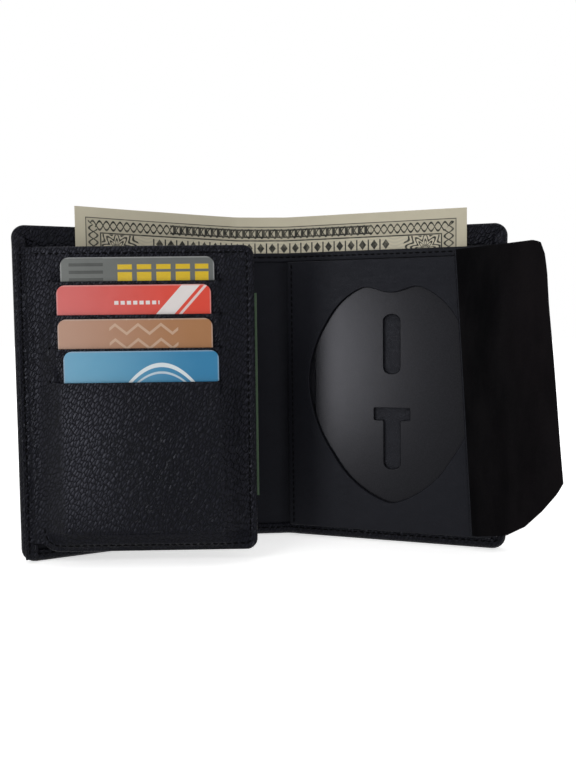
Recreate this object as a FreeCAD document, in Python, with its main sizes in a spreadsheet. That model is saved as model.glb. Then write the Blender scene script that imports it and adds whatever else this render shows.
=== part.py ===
import FreeCAD, Part
import math
import os
from types import SimpleNamespace

import Sketcher

doc = FreeCAD.newDocument("id_badge_wallet")
sheet = doc.addObject("Spreadsheet::Sheet", "Sizes")

# Every driving size: alias, millimetres or degrees, what it is.
SIZES = [
    ("spine_width", 20.0, "between the two fold lines"),
    ("fold_margin", 6.2, "half longer than the leaf"),
    ("fold_angle", 23.7, "how far each half is folded forward, degrees"),
    ("cover_over", 8.3, "cover stands above the inner panel"),
    ("corner_radius", 5.0, "outer corners of both halves"),
    ("cover_thick", 1.2, "outer leather"),
    ("lining_thick", 0.3, "compartment lining"),
    ("note_gap", 0.8, "depth of the note compartment"),
    ("panel_thick", 0.6, "inner panel leather"),
    ("fold_gap", 0.2, "layer ends from the fold line"),
    ("hem_height", 3.5, "sewn hem along the panel top"),
    ("hem_thick", 0.6, "added leather of the hem"),
    ("seam_width", 4.0, "seam where panel and cover meet"),
    ("lip_width", 4.5, "turned border"),
    ("lip_thick", 1.0, "turned border leather"),
    ("top_turn", 7.8, "cover leather turned in at the top"),
    ("badge_start", 1.2, "badge holder from the right fold"),
    ("badge_back_thick", 0.8, "badge holder backing"),
    ("insert_thick", 1.4, "slotted insert and its spacer"),
    ("face_thick", 1.8, "badge face leather"),
    ("shield_shift", 2.05, "shield cut-out off the middle of the holder"),
    ("shield_lift", 10.8, "holder below the cut-out"),
    ("shield_drop", 10.5, "holder above the cut-out"),
    ("insert_gap", 2.9, "free edge of the insert from its window"),
    ("window_left", 8.3, "spacer on the fold side"),
    ("window_right", 3.3, "spacer on the outer side"),
    ("window_low", 8.3, "spacer along the bottom"),
    ("window_top", 8.0, "spacer along the top"),
    ("slot_width", 6.5, "width of the upper slot and of the stem"),
    ("lower_bar_high", 4.8, "lower slot, cross bar height"),
    ("lower_bar_wide", 14.1, "lower slot, cross bar width"),
    ("crease_in", 14.8, "flap crease in from the edge, at mid height"),
    ("crease_lean", 0.0592, "crease leans inward per height"),
    ("flap_angle", 18.0, "flap off the plane of the half, degrees"),
    ("flap_low", 5.55, "lower end of the flap crease"),
    ("flap_under", 1.25, "upper end of the crease below the panel top"),
    ("flap_top_wide", 32.3, "flap width at the top"),
    ("flap_low_wide", 36.1, "flap width above the cut corner"),
    ("flap_cut_run", 22.7, "cut corner, across"),
    ("flap_cut_rise", 20.4, "cut corner, up"),
    ("flap_leather_thick", 0.5, "flap leather"),
    ("flap_suede_thick", 0.4, "flap suede"),
    ("flap_bead", 0.5, "radius of the rolled crease"),
    ("flap_taper", 1.0, "flap edges draw in from the crease"),
    ("root_step", 1.9, "raised part of the flap root on the border"),
    ("root_gap", 0.7, "flap root off the badge holder"),
    ("edge_inset", 0.5, "sewn pieces in from the outer edge"),
    ("leaf_inset", 4.1, "leaf hinge in from the left edge"),
    ("leaf_angle", 26.2, "leaf off the left half, degrees"),
    ("leaf_free", 8.6, "leaf past the card pockets"),
    ("leaf_bottom", 4.1, "lower edge of the leaf"),
    ("leaf_over", 12.1, "leaf above the highest pocket mouth"),
    ("leaf_skin", 0.8, "one leather layer of the leaf"),
    ("leaf_bead", 0.9, "radius of the rolled leaf fold"),
    ("leaf_strip_wide", 5.0, "strip that holds the leaf fold"),
    ("leaf_strip_thick", 0.7, "leather of that strip"),
    ("leaf_strip_lift", 8.0, "strip starts above the leaf's lower edge"),
    ("pocket_left", 4.6, "card pockets start on the leaf"),
    ("pocket_rim", 3.4, "sewn side of a card pocket"),
    ("pocket_low", 8.0, "lower edge of the card pockets"),
    ("pocket_floor", 4.4, "sewn bottom of the lowest pocket"),
    ("pocket_skin", 0.7, "front leather of a pocket"),
    ("slit_step", 11.8, "from one pocket mouth to the next"),
    ("card_wide", 54.0, "card across"),
    ("card_play", 5.8, "pocket wider than its card"),
    ("card_long", 64.0, "card up and down"),
    ("card_thick", 0.8, "card"),
    ("card_round", 3.0, "card corners"),
    ("sleeve_rim", 5.5, "sewn border of the clear sleeve"),
    ("sleeve_skin", 0.4, "clear sleeve film"),
    ("sleeve_back", 0.8, "sleeve ends short of the leaf's free edge"),
    ("slip_low", 23.6, "slip, lower edge"),
    ("slip_long", 60.0, "slip along the leaf"),
    ("slip_high", 72.8, "slip up and down"),
    ("slip_thick", 0.3, "slip"),
    ("slip_out", 0.8, "slip stands out past the leaf"),
    ("note_over", 6.1, "note stands above the cover"),
    ("note_high", 66.3, "note up and down"),
    ("note_thick", 0.2, "note"),
    ("note_left_in", 22.2, "note ends short of the left edge"),
    ("note_right_in", 14.8, "note ends short of the right edge"),
    ("slide_play", 0.1, "room for a sliding piece"),
    ("near_gap", 0.2, "gap between neighbours"),
]

# Per card: left edge on the leaf and height of the part that shows above the mouth.
CARDS = [(11.8, 8.1), (10.6, 10.1), (11.1, 10.0), (13.2, 10.6)]
for number, (card_left, card_show) in enumerate(CARDS, 1):
    SIZES.append((f"card_{number}_left", card_left, "card in from the leaf hinge"))
    SIZES.append((f"card_{number}_show", card_show, "card shows above its mouth"))

# Shield cut-out, right side from the bottom up: across and up as shares, then the arc to the next point.
SHIELD = [(0.0, 0.0, 1.148), (0.697, 0.219, 1.582), (1.0, 0.570, 1.345), (0.767, 0.847, 0.827)]
SHIELD_SHOULDER = (0.321, 1.0, 0.467)
SHIELD_NOTCH = 0.970
SHIELD_HALF = 0.41
# Slots of the insert, as shares of the shield's height.
UPPER_SLOT = (0.630, 0.843)
LOWER_SLOT_LOW = 0.188
LOWER_BAR_LOW = 0.3856
# Lower corner of the flap, as shares of the cut's run and rise.
FLAP_CUT = [(0.0, 0.0), (0.33, 0.19), (0.63, 0.49), (0.89, 0.81), (1.0, 1.0)]


class Size:
    """A number that carries the sheet expression it was worked out from."""

    def __init__(self, value, text):
        self.value = float(value)
        self.text = text

    def __add__(self, other):
        other = as_size(other)
        return Size(self.value + other.value, f"({self.text} + {other.text})")

    def __sub__(self, other):
        other = as_size(other)
        return Size(self.value - other.value, f"({self.text} - {other.text})")

    def __mul__(self, other):
        other = as_size(other)
        return Size(self.value * other.value, f"({self.text} * {other.text})")

    def __truediv__(self, other):
        other = as_size(other)
        return Size(self.value / other.value, f"({self.text} / {other.text})")

    def __neg__(self):
        return Size(-self.value, f"(-1 * {self.text})")


def as_size(number):
    if isinstance(number, Size):
        return number
    return Size(number, f"({float(number)!r})")


for row, (alias, number, note) in enumerate(SIZES, 1):
    sheet.set(f"A{row}", alias)
    sheet.set(f"B{row}", str(number))
    sheet.set(f"C{row}", note)
    sheet.setAlias(f"B{row}", alias)
doc.recompute()
v = SimpleNamespace(**{alias: Size(number, f"Sizes.{alias}") for alias, number, note in SIZES})

# The cards size the leaf, the leaf sizes the halves.
lowest_show = getattr(v, f"card_{len(CARDS)}_show")
pocket_wide = v.card_wide + v.card_play + v.pocket_rim * 2
leaf_width = v.pocket_left + pocket_wide + v.leaf_free
half_length = leaf_width + v.fold_margin
lowest_slit = v.pocket_low + v.pocket_floor + v.card_long + v.slide_play - lowest_show
leaf_top = lowest_slit + v.slit_step * (len(CARDS) - 1) + v.leaf_over
panel_height = leaf_top - v.near_gap
cover_height = panel_height + v.cover_over

# Layer depths are measured from the plane of the fold axes, positive to the front.
half_spine = v.spine_width / 2
panel_front = v.panel_thick / 2
panel_rear = -panel_front
lining_front = panel_rear - v.note_gap
cover_front = lining_front - v.lining_thick
cover_rear = cover_front - v.cover_thick
fold_set = v.cover_thick / 2 - cover_front
lip_front = panel_front + v.lip_thick
insert_rear = panel_front + v.badge_back_thick
face_rear = insert_rear + v.insert_thick
face_front = face_rear + v.face_thick
root_skin = v.lip_thick
flap_stand = face_front + root_skin + v.slide_play / 2
flap_height = panel_height - v.flap_low - v.flap_under
flap_half = flap_height / 2
flap_mid = v.flap_low + flap_half
crease_at = half_length - v.crease_in
leaf_stand = lip_front + v.leaf_strip_thick + v.slide_play + v.leaf_bead

TURN_UP = "vector(0; 0; 1)"
TURN_SIDE = "vector(0; 1; 0)"


def frame_at(x, y, z, turn):
    return f"placement(vector({as_size(x).text}; {as_size(y).text}; {as_size(z).text}); {turn})"


SPINE = frame_at(0, -fold_set, 0, f"rotation({TURN_UP}; 0)")
LEFT = frame_at(-half_spine, -fold_set, 0, f"rotation({TURN_UP}; Sizes.fold_angle)")
RIGHT = frame_at(half_spine, -fold_set, 0, f"rotation({TURN_UP}; -Sizes.fold_angle)")
leaf_hinge_at = half_length - v.leaf_inset
LEAF = LEFT + " * " + frame_at(-leaf_hinge_at, -leaf_stand, 0, f"rotation({TURN_UP}; -Sizes.leaf_angle)")
FLAP = RIGHT + " * " + frame_at(
    crease_at,
    -flap_stand,
    flap_mid,
    f"rotation({TURN_SIDE}; -atan(Sizes.crease_lean)) * rotation({TURN_UP}; -Sizes.flap_angle)",
)
HALVES = [("left", LEFT, -1), ("right", RIGHT, 1)]
bodies = []


def rect(x_from, z_from, x_to, z_to):
    return [(x_from, z_from), (x_to, z_from), (x_to, z_to), (x_from, z_to)]


def arc_between(start, end, radius):
    """Arc from start to end, always stored counter-clockwise; a negative radius runs clockwise."""
    first, last = (start, end) if radius > 0 else (end, start)
    chord = last - first
    left_hand = FreeCAD.Vector(-chord.y, chord.x, 0).normalize()
    inset = math.sqrt(radius * radius - chord.Length * chord.Length / 4)
    centre = (first + last) * 0.5 + left_hand * inset
    circle = Part.Circle(centre, FreeCAD.Vector(0, 0, 1), abs(radius))
    from_angle = math.atan2(first.y - centre.y, first.x - centre.x)
    to_angle = math.atan2(last.y - centre.y, last.x - centre.x)
    return Part.ArcOfCircle(circle, from_angle, to_angle)


def bind(sketch, kind, *references, size):
    index = sketch.addConstraint(Sketcher.Constraint(kind, *references, size.value))
    sketch.setExpression(f"Constraints[{index}]", size.text)


def draw_loop(sketch, corners):
    """Closed loop of (x, z) or (x, z, arc radius to the next corner), each value bound to the sheet."""
    corners = [tuple(as_size(value) for value in corner) for corner in corners]
    points = [FreeCAD.Vector(corner[0].value, corner[1].value, 0) for corner in corners]
    edges = []
    for number, corner in enumerate(corners):
        start = points[number]
        end = points[(number + 1) % len(points)]
        if len(corner) == 2:
            edges.append((sketch.addGeometry(Part.LineSegment(start, end), False), 1, 2))
            continue
        arc = sketch.addGeometry(arc_between(start, end, corner[2].value), False)
        ends = (1, 2) if corner[2].value > 0 else (2, 1)
        edges.append((arc, *ends))
    for number, corner in enumerate(corners):
        edge, start_point, end_point = edges[number]
        next_edge, next_start, next_end = edges[(number + 1) % len(edges)]
        sketch.addConstraint(Sketcher.Constraint("Coincident", edge, end_point, next_edge, next_start))
        bind(sketch, "DistanceX", -1, 1, edge, start_point, size=corner[0])
        bind(sketch, "DistanceY", -1, 1, edge, start_point, size=corner[1])
        if len(corner) == 3:
            bind(sketch, "Radius", edge, size=corner[2])


def new_body(label, frame):
    body = doc.addObject("PartDesign::Body", label)
    body.Label = label
    body.setExpression("Placement", frame)
    bodies.append(body)
    return body


def new_sketch(body, role, start):
    sketch = body.newObject("Sketcher::SketchObject", f"{body.Name}_sketch")
    plane = next(item for item in body.Origin.OriginFeatures if item.Role == role)
    sketch.AttachmentSupport = [(plane, "")]
    sketch.MapMode = "FlatFace"
    sketch.setExpression("AttachmentOffset.Base.z", as_size(start).text)
    return sketch


def pad_from(body, sketch, length):
    pad = body.newObject("PartDesign::Pad", f"{body.Name}_pad")
    pad.Profile = sketch
    pad.setExpression("Length", as_size(length).text)
    doc.recompute()
    return pad


def add_layer(body, depth, thick, *loops):
    """Flat layer of leather from this depth forward; further loops are cut-outs."""
    sketch = new_sketch(body, "XZ_Plane", depth)
    for corners in loops:
        draw_loop(sketch, corners)
    return pad_from(body, sketch, thick)


def add_rod(body, radius, bottom, height):
    sketch = new_sketch(body, "XY_Plane", bottom)
    circle = Part.Circle(FreeCAD.Vector(0, 0, 0), FreeCAD.Vector(0, 0, 1), radius.value)
    edge = sketch.addGeometry(circle, False)
    sketch.addConstraint(Sketcher.Constraint("Coincident", edge, 3, -1, 1))
    bind(sketch, "Radius", edge, size=radius)
    return pad_from(body, sketch, height)


def round_corners(body, radius, *places):
    """Round the edges that run through the leather at these (x, z) places."""
    base = body.Tip
    names = []
    for number, edge in enumerate(base.Shape.Edges, 1):
        first = edge.Vertexes[0].Point
        last = edge.Vertexes[-1].Point
        if math.hypot(first.x - last.x, first.z - last.z) > 0.001:
            continue
        for x, z in places:
            if math.hypot(first.x - as_size(x).value, first.z - as_size(z).value) < 0.01:
                names.append(f"Edge{number}")
    fillet = body.newObject("PartDesign::Fillet", f"{body.Name}_fillet")
    fillet.Base = (base, names)
    fillet.setExpression("Radius", radius.text)
    doc.recompute()
    body.Tip = fillet


def plate(label, frame, depth, thick, *loops):
    body = new_body(label, frame)
    add_layer(body, depth, thick, *loops)
    return body


lining_top = cover_height - v.top_turn - v.slide_play
hem_bottom = panel_height - v.hem_height
fold_clear = panel_front + v.fold_gap
front_clear = lip_front + v.fold_gap + v.slide_play

# Cover, lining, inner panel and turned border of the two halves.
for side, frame, sign in HALVES:
    edge = half_length * sign
    near = v.fold_gap * sign
    seam_edge = (half_length - v.seam_width) * sign
    lip_edge = (half_length - v.lip_width) * sign

    cover = plate(f"cover_{side}", frame, cover_rear, v.cover_thick, rect(near, 0, edge, cover_height))
    top_turn_low = cover_height - v.top_turn
    add_layer(cover, cover_front, v.lining_thick, rect(near, top_turn_low, edge, cover_height))
    round_corners(cover, v.corner_radius, (edge, 0), (edge, cover_height))

    lining_outline = rect(near, v.near_gap, edge, lining_top)
    lining = plate(f"lining_{side}", frame, cover_front, v.lining_thick, lining_outline)
    round_corners(lining, v.corner_radius, (edge, v.near_gap))

    panel_near = fold_clear * sign
    divider = plate(
        f"divider_{side}", frame, panel_rear, v.panel_thick, rect(panel_near, v.near_gap, edge, panel_height)
    )
    seam = [
        (panel_near, v.near_gap),
        (edge, v.near_gap),
        (edge, panel_height),
        (seam_edge, panel_height),
        (seam_edge, v.seam_width),
        (panel_near, v.seam_width),
    ]
    add_layer(divider, lining_front, v.note_gap, seam)
    hem = rect(front_clear * sign, hem_bottom, lip_edge - v.near_gap * sign, panel_height)
    add_layer(divider, panel_front, v.hem_thick, hem)
    round_corners(divider, v.corner_radius, (edge, v.near_gap))

    border = [
        (front_clear * sign, 0),
        (edge, 0),
        (edge, panel_height),
        (lip_edge, panel_height),
        (lip_edge, v.lip_width),
        (front_clear * sign, v.lip_width),
    ]
    turned_edge = plate(f"turned_edge_{side}", frame, panel_front, v.lip_thick, border)
    round_corners(turned_edge, v.corner_radius, (edge, 0))

# The same layers across the spine.
spine_end = half_spine - v.fold_gap
spine_front_end = half_spine - front_clear
cover_spine = plate(
    "cover_spine", SPINE, cover_rear, v.cover_thick, rect(-spine_end, 0, spine_end, cover_height)
)
spine_turn = rect(-spine_end, cover_height - v.top_turn, spine_end, cover_height)
add_layer(cover_spine, cover_front, v.lining_thick, spine_turn)
plate("lining_spine", SPINE, cover_front, v.lining_thick, rect(-spine_end, v.near_gap, spine_end, lining_top))
divider_spine = plate(
    "divider_spine", SPINE, panel_rear, v.panel_thick, rect(-half_spine, v.near_gap, half_spine, panel_height)
)
add_layer(divider_spine, lining_front, v.note_gap, rect(-spine_end, v.near_gap, spine_end, v.seam_width))
spine_hem = rect(-spine_front_end, hem_bottom, spine_front_end, panel_height)
add_layer(divider_spine, panel_front, v.hem_thick, spine_hem)
for sign in (-1, 1):
    sketch = new_sketch(divider_spine, "XY_Plane", v.near_gap)
    circle = Part.Circle(
        FreeCAD.Vector(half_spine.value * sign, 0, 0), FreeCAD.Vector(0, 0, 1), panel_front.value
    )
    roll = sketch.addGeometry(circle, False)
    bind(sketch, "DistanceX", -1, 1, roll, 3, size=half_spine * sign)
    bind(sketch, "DistanceY", -1, 1, roll, 3, size=as_size(0))
    bind(sketch, "Radius", roll, size=panel_front)
    pad_from(divider_spine, sketch, panel_height - v.near_gap)
plate(
    "turned_edge_spine",
    SPINE,
    panel_front,
    v.lip_thick,
    rect(-spine_front_end, 0, spine_front_end, v.lip_width),
)

# Badge holder on the right half.
badge_end = half_length - v.lip_width - v.near_gap
badge_low = v.lip_width + v.near_gap
badge_top = hem_bottom - v.near_gap
badge_outline = rect(v.badge_start, badge_low, badge_end, badge_top)
shield_axis = (v.badge_start + badge_end) / 2 + v.shield_shift
shield_half = (badge_end - v.badge_start) * SHIELD_HALF
shield_low = badge_low + v.shield_lift
shield_height = badge_top - v.shield_drop - shield_low
window = SimpleNamespace(
    left=v.badge_start + v.window_left,
    right=badge_end - v.window_right,
    low=badge_low + v.window_low,
    top=badge_top - v.window_top,
)
plate("badge_back", RIGHT, panel_front, v.badge_back_thick, badge_outline)
plate(
    "badge_frame",
    RIGHT,
    insert_rear,
    v.insert_thick,
    badge_outline,
    rect(window.left, window.low, window.right, window.top),
)

slot_half = v.slot_width / 2
slot_round = v.slot_width * 0.52
slot_left = shield_axis - slot_half
slot_right = shield_axis + slot_half
upper_slot_low, upper_slot_top = [shield_low + shield_height * share for share in UPPER_SLOT]
upper_slot = [
    (slot_left, upper_slot_low, slot_round),
    (slot_right, upper_slot_low),
    (slot_right, upper_slot_top, slot_round),
    (slot_left, upper_slot_top),
]
lower_slot_low = shield_low + shield_height * LOWER_SLOT_LOW
lower_bar_low = shield_low + shield_height * LOWER_BAR_LOW
bar_left = shield_axis - v.lower_bar_wide / 2
bar_right = shield_axis + v.lower_bar_wide / 2
bar_top = lower_bar_low + v.lower_bar_high
lower_slot = [
    (slot_left, lower_slot_low, slot_round),
    (slot_right, lower_slot_low),
    (slot_right, lower_bar_low),
    (bar_right, lower_bar_low),
    (bar_right, bar_top),
    (bar_left, bar_top),
    (bar_left, lower_bar_low),
    (slot_left, lower_bar_low),
]
insert_left = window.left + v.insert_gap
insert_low = window.low + v.near_gap
insert_outline = rect(insert_left, insert_low, window.right - v.near_gap, window.top - v.near_gap)
plate("badge_plate", RIGHT, insert_rear, v.insert_thick, insert_outline, upper_slot, lower_slot)


def shield_point(across, up, bend):
    x = shield_axis + shield_half * across
    z = shield_low + shield_height * up
    return (x, z, shield_half * bend)


right_side = SHIELD + [SHIELD_SHOULDER]
shield = [shield_point(across, up, bend) for across, up, bend in right_side]
shield.append(shield_point(0.0, SHIELD_NOTCH, SHIELD_SHOULDER[2]))
for number in range(len(right_side) - 1, 0, -1):
    across, up, bend = right_side[number]
    shield.append(shield_point(-across, up, right_side[number - 1][2]))
plate("badge_face", RIGHT, face_rear, v.face_thick, badge_outline, shield)

# Flap over the badge, sewn to the right border.
root_edge = half_length - v.lip_width + v.root_step
root_low = flap_mid - flap_half
root_top = flap_mid + flap_half
crease_shift = v.crease_lean * flap_half
crease_gap = v.flap_bead + v.near_gap
root_start = badge_end + v.root_gap
root_outline = rect(root_start, root_low, half_length - v.edge_inset, root_top)
flap_root = plate("flap_root", RIGHT, lip_front, root_skin, root_outline)
riser_low = lip_front + root_skin
add_layer(flap_root, riser_low, face_front - riser_low, rect(root_start, root_low, root_edge, root_top))
root_top_plate = [
    (crease_at + crease_shift + crease_gap, root_low),
    (root_edge, root_low),
    (root_edge, root_top),
    (crease_at - crease_shift + crease_gap, root_top),
]
add_layer(flap_root, face_front, root_skin, root_top_plate)

flap_outline = [(0, -flap_half)]
for across, up in FLAP_CUT:
    x = v.flap_low_wide - v.flap_cut_run + v.flap_cut_run * across
    z = v.flap_cut_rise * up + v.flap_taper - flap_half
    flap_outline.append((x, z))
flap_outline.append((v.flap_top_wide, flap_half - v.flap_taper))
flap_outline.append((0, flap_half))
suede_outline = [(v.flap_bead + v.near_gap, z) if x == 0 else (x, z) for x, z in flap_outline]
flap_rear = v.slide_play / 2
flap_leather = plate("flap_leather", FLAP, flap_rear, v.flap_leather_thick, flap_outline)
add_rod(flap_leather, v.flap_bead, v.near_gap * 2 - flap_half, flap_height - v.near_gap * 4)
plate("flap_suede", FLAP, flap_rear + v.flap_leather_thick, v.flap_suede_thick, suede_outline)

# Card leaf hinged at the left border.
leaf_near = v.leaf_bead + v.near_gap
strip_low = v.leaf_bottom + v.leaf_strip_lift
strip_edge = half_length - v.edge_inset
plate(
    "leaf_strip",
    LEFT,
    lip_front,
    v.leaf_strip_thick,
    rect(-strip_edge, strip_low, v.leaf_strip_wide - strip_edge, panel_height),
)
leaf_hinge = new_body("leaf_hinge", LEAF)
add_rod(leaf_hinge, v.leaf_bead, strip_low, leaf_top - strip_low)

leaf_outline = rect(leaf_near, v.leaf_bottom, leaf_width, leaf_top)
for label, depth in [("leaf_back", -v.leaf_skin), ("leaf_face", as_size(0))]:
    leaf = plate(label, LEAF, depth, v.leaf_skin, leaf_outline)
    round_corners(leaf, v.corner_radius * 0.8, (leaf_width, v.leaf_bottom), (leaf_width, leaf_top))
    round_corners(leaf, v.corner_radius * 1.6, (leaf_near, v.leaf_bottom))

# Stepped pockets and their cards, the highest one first.
pocket_right = v.pocket_left + pocket_wide
room_left = v.pocket_left + v.pocket_rim
room_right = pocket_right - v.pocket_rim
pocket_depth = v.card_thick + v.slide_play * 2
for number in range(1, len(CARDS) + 1):
    card_left = getattr(v, f"card_{number}_left")
    card_show = getattr(v, f"card_{number}_show")
    depth = v.leaf_skin + (pocket_depth + v.pocket_skin) * (number - 1)
    slit = lowest_slit + v.slit_step * (len(CARDS) - number)
    card_top = slit + card_show
    card_bottom = card_top - v.card_long
    floor = card_bottom - v.slide_play
    rim = [
        (v.pocket_left, v.pocket_low),
        (pocket_right, v.pocket_low),
        (pocket_right, slit),
        (room_right, slit),
        (room_right, floor),
        (room_left, floor),
        (room_left, slit),
        (v.pocket_left, slit),
    ]
    pocket = plate(f"card_pocket_{number}", LEAF, depth, pocket_depth, rim)
    front = rect(v.pocket_left, v.pocket_low, pocket_right, slit)
    add_layer(pocket, depth + pocket_depth, v.pocket_skin, front)

    card_right = card_left + v.card_wide
    card_outline = rect(card_left, card_bottom, card_right, card_top)
    card_depth = depth + v.slide_play
    card = plate(f"card_{number}", LEAF, card_depth, v.card_thick, card_outline)
    round_corners(card, v.card_round, *card_outline)

# Clear sleeve on the back of the leaf, open at the free edge, and the slip in it.
slip_right = leaf_width + v.slip_out
slip_left = slip_right - v.slip_long
slip_top = v.slip_low + v.slip_high
sleeve_right = leaf_width - v.sleeve_back
sleeve_left = slip_left - v.slide_play - v.sleeve_rim
sleeve_low = v.slip_low - v.slide_play - v.sleeve_rim
sleeve_top = slip_top + v.slide_play + v.sleeve_rim
sleeve_gap = v.slip_thick + v.slide_play * 2
film_rear = -v.leaf_skin - sleeve_gap - v.sleeve_skin
id_sleeve = plate(
    "id_sleeve", LEAF, film_rear, v.sleeve_skin, rect(sleeve_left, sleeve_low, sleeve_right, sleeve_top)
)
sleeve_rim = [
    (sleeve_left, sleeve_low),
    (sleeve_right, sleeve_low),
    (sleeve_right, v.slip_low - v.slide_play),
    (slip_left - v.slide_play, v.slip_low - v.slide_play),
    (slip_left - v.slide_play, slip_top + v.slide_play),
    (sleeve_right, slip_top + v.slide_play),
    (sleeve_right, sleeve_top),
    (sleeve_left, sleeve_top),
]
add_layer(id_sleeve, film_rear + v.sleeve_skin, sleeve_gap, sleeve_rim)
slip_rear = -v.leaf_skin - v.slide_play - v.slip_thick
plate("id_slip", LEAF, slip_rear, v.slip_thick, rect(slip_left, v.slip_low, slip_right, slip_top))

# Note in the compartment, divided where it passes the folds.
note_rear = lining_front + (v.note_gap - v.note_thick) / 2
note_top = cover_height + v.note_over
note_low = note_top - v.note_high
note_inset = {"left": v.note_left_in, "right": v.note_right_in}
plate("note_mid", SPINE, note_rear, v.note_thick, rect(-spine_end, note_low, spine_end, note_top))
for side, frame, sign in HALVES:
    near = v.fold_gap * sign
    reach = (half_length - note_inset[side]) * sign
    plate(f"note_{side}", frame, note_rear, v.note_thick, rect(near, note_low, reach, note_top))

doc.recompute()
for item in doc.Objects:
    if "Invalid" in item.State or "Error" in item.State:
        raise RuntimeError(f"{item.Label} did not build: {item.State}")
os.makedirs("parts", exist_ok=True)
for body in bodies:
    shape = body.Shape
    if shape.isNull() or not shape.isValid() or len(shape.Solids) != 1:
        raise RuntimeError(f"{body.Label} is not one sound solid")
    shape.exportStep(os.path.join("parts", f"{body.Label}.step"))
print(f"{len(bodies)} solids written")
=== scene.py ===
import math
from functools import partialmethod
import bmesh
import bpy
from mathutils import Matrix, Vector


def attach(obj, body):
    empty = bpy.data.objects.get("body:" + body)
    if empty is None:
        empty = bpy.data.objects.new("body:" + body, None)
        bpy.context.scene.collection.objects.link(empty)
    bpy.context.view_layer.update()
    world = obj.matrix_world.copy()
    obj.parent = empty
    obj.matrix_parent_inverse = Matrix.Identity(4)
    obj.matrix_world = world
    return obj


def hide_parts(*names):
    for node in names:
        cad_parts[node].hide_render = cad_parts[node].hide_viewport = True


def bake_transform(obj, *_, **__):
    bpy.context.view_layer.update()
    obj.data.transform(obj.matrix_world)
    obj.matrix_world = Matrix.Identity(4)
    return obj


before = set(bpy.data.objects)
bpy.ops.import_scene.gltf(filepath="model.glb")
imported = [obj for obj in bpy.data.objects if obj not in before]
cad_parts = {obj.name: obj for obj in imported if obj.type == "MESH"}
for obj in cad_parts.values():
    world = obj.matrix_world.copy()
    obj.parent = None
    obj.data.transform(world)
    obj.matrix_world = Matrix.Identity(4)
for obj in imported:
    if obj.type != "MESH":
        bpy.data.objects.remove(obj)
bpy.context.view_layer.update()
print("frame loaded,", len(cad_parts), "solids")

mm = 0.001
scene = bpy.context.scene
sides = (("Left", -1, "left_half", "left"), ("Right", 1, "right_half", "right"))

# how the wallet lies, in millimetres and degrees
wallet = dict(
    openAngle=23.7, leafAngle=2.5, flapTilt=3.388, flapRise=18.0,
    foldAt=10.0, foldDepth=-2.0, softFold=4.5, midHeight=60.0,
    leafHinge=(-83.787, -37.667), flapHinge=(73.045, -35.517, 58.75),
)
openTurn = math.radians(wallet["openAngle"])
leafTurn = math.radians(wallet["leafAngle"])
flapRotation = (
    Matrix.Rotation(-openTurn, 3, "Z")
    @ Matrix.Rotation(-math.radians(wallet["flapTilt"]), 3, "Y")
    @ Matrix.Rotation(-math.radians(wallet["flapRise"]), 3, "Z")
)


def ease(value, low, high):
    t = min(max((value - low) / (high - low), 0.0), 1.0)
    return t * t * (3.0 - 2.0 * t)


def mix(a, b, t):
    return a + (b - a) * t


def bell(distance, width):
    return math.exp(-((distance / width) ** 2))


def spread(low, high, step):
    count = max(1, math.ceil(abs(high - low) / step))
    return [mix(low, high, i / count) for i in range(count + 1)]


def arc(x, z, radius, start, end, steps, squash=1.0):
    turns = [math.radians(mix(start, end, i / steps)) for i in range(steps + 1)]
    return [(x + radius * math.cos(a), z + radius * squash * math.sin(a)) for a in turns]


# how far a rounded edge has dropped at this gap from its rim
def rolled(gap, size):
    return size - math.sqrt(max(size * size - (size - min(gap, size)) ** 2, 0.0))


# side +1 right, -1 left; u runs along the cover from the spine's middle, n towards the reader
def coverPoint(side, u, n, z):
    at, soft = wallet["foldAt"], wallet["softFold"]
    turn = openTurn * ease(u, at - soft, at + soft)
    x = at + (u - at) * math.cos(turn) - n * math.sin(turn)
    y = wallet["foldDepth"] - (u - at) * math.sin(turn) - n * math.cos(turn)
    return Vector((side * x, y, z)) * mm


# s runs from the fold
def onLeft(s, n, z):
    return coverPoint(-1, wallet["foldAt"] + s, n, z)


def onRight(s, n, z):
    return coverPoint(1, wallet["foldAt"] + s, n, z)


def leafPoint(p, m, z):
    x, y = wallet["leafHinge"]
    c, s = math.cos(leafTurn), math.sin(leafTurn)
    return Vector((x + p * c - m * s, y - p * s - m * c, z)) * mm


def flapPoint(x, n, h):
    return (Vector(wallet["flapHinge"]) + flapRotation @ Vector((x, -n, h))) * mm


def addObject(name, data):
    made = bpy.data.objects.new(name, data)
    scene.collection.objects.link(made)
    return made


# camera
cameraSet = dict(place=(-12.4311, -357.8621, 86.5691), yaw=3.6128, pitch=4.1065, roll=-0.6491, lens=41.588,
                 sensor=36.0, clip=(0.01, 20.0))


def setCamera(values):
    yaw, pitch, roll = (math.radians(values[k]) for k in ("yaw", "pitch", "roll"))
    ahead = Vector((math.sin(yaw) * math.cos(pitch), math.cos(yaw) * math.cos(pitch), -math.sin(pitch)))
    across = Vector((math.cos(yaw), -math.sin(yaw), 0))
    above = across.cross(ahead)
    rolledAcross = across * math.cos(roll) + above * math.sin(roll)
    rolledAbove = above * math.cos(roll) - across * math.sin(roll)
    data = bpy.data.cameras.new("camera")
    data.sensor_width = values["sensor"]
    data.lens = values["lens"]
    data.clip_start, data.clip_end = values["clip"]
    camera = addObject("camera", data)
    turn = Matrix((rolledAcross, rolledAbove, -ahead)).transposed()
    camera.matrix_world = Matrix.Translation(Vector(values["place"]) * mm) @ turn.to_4x4()
    scene.camera = camera


setCamera(cameraSet)
print("camera set")


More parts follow.
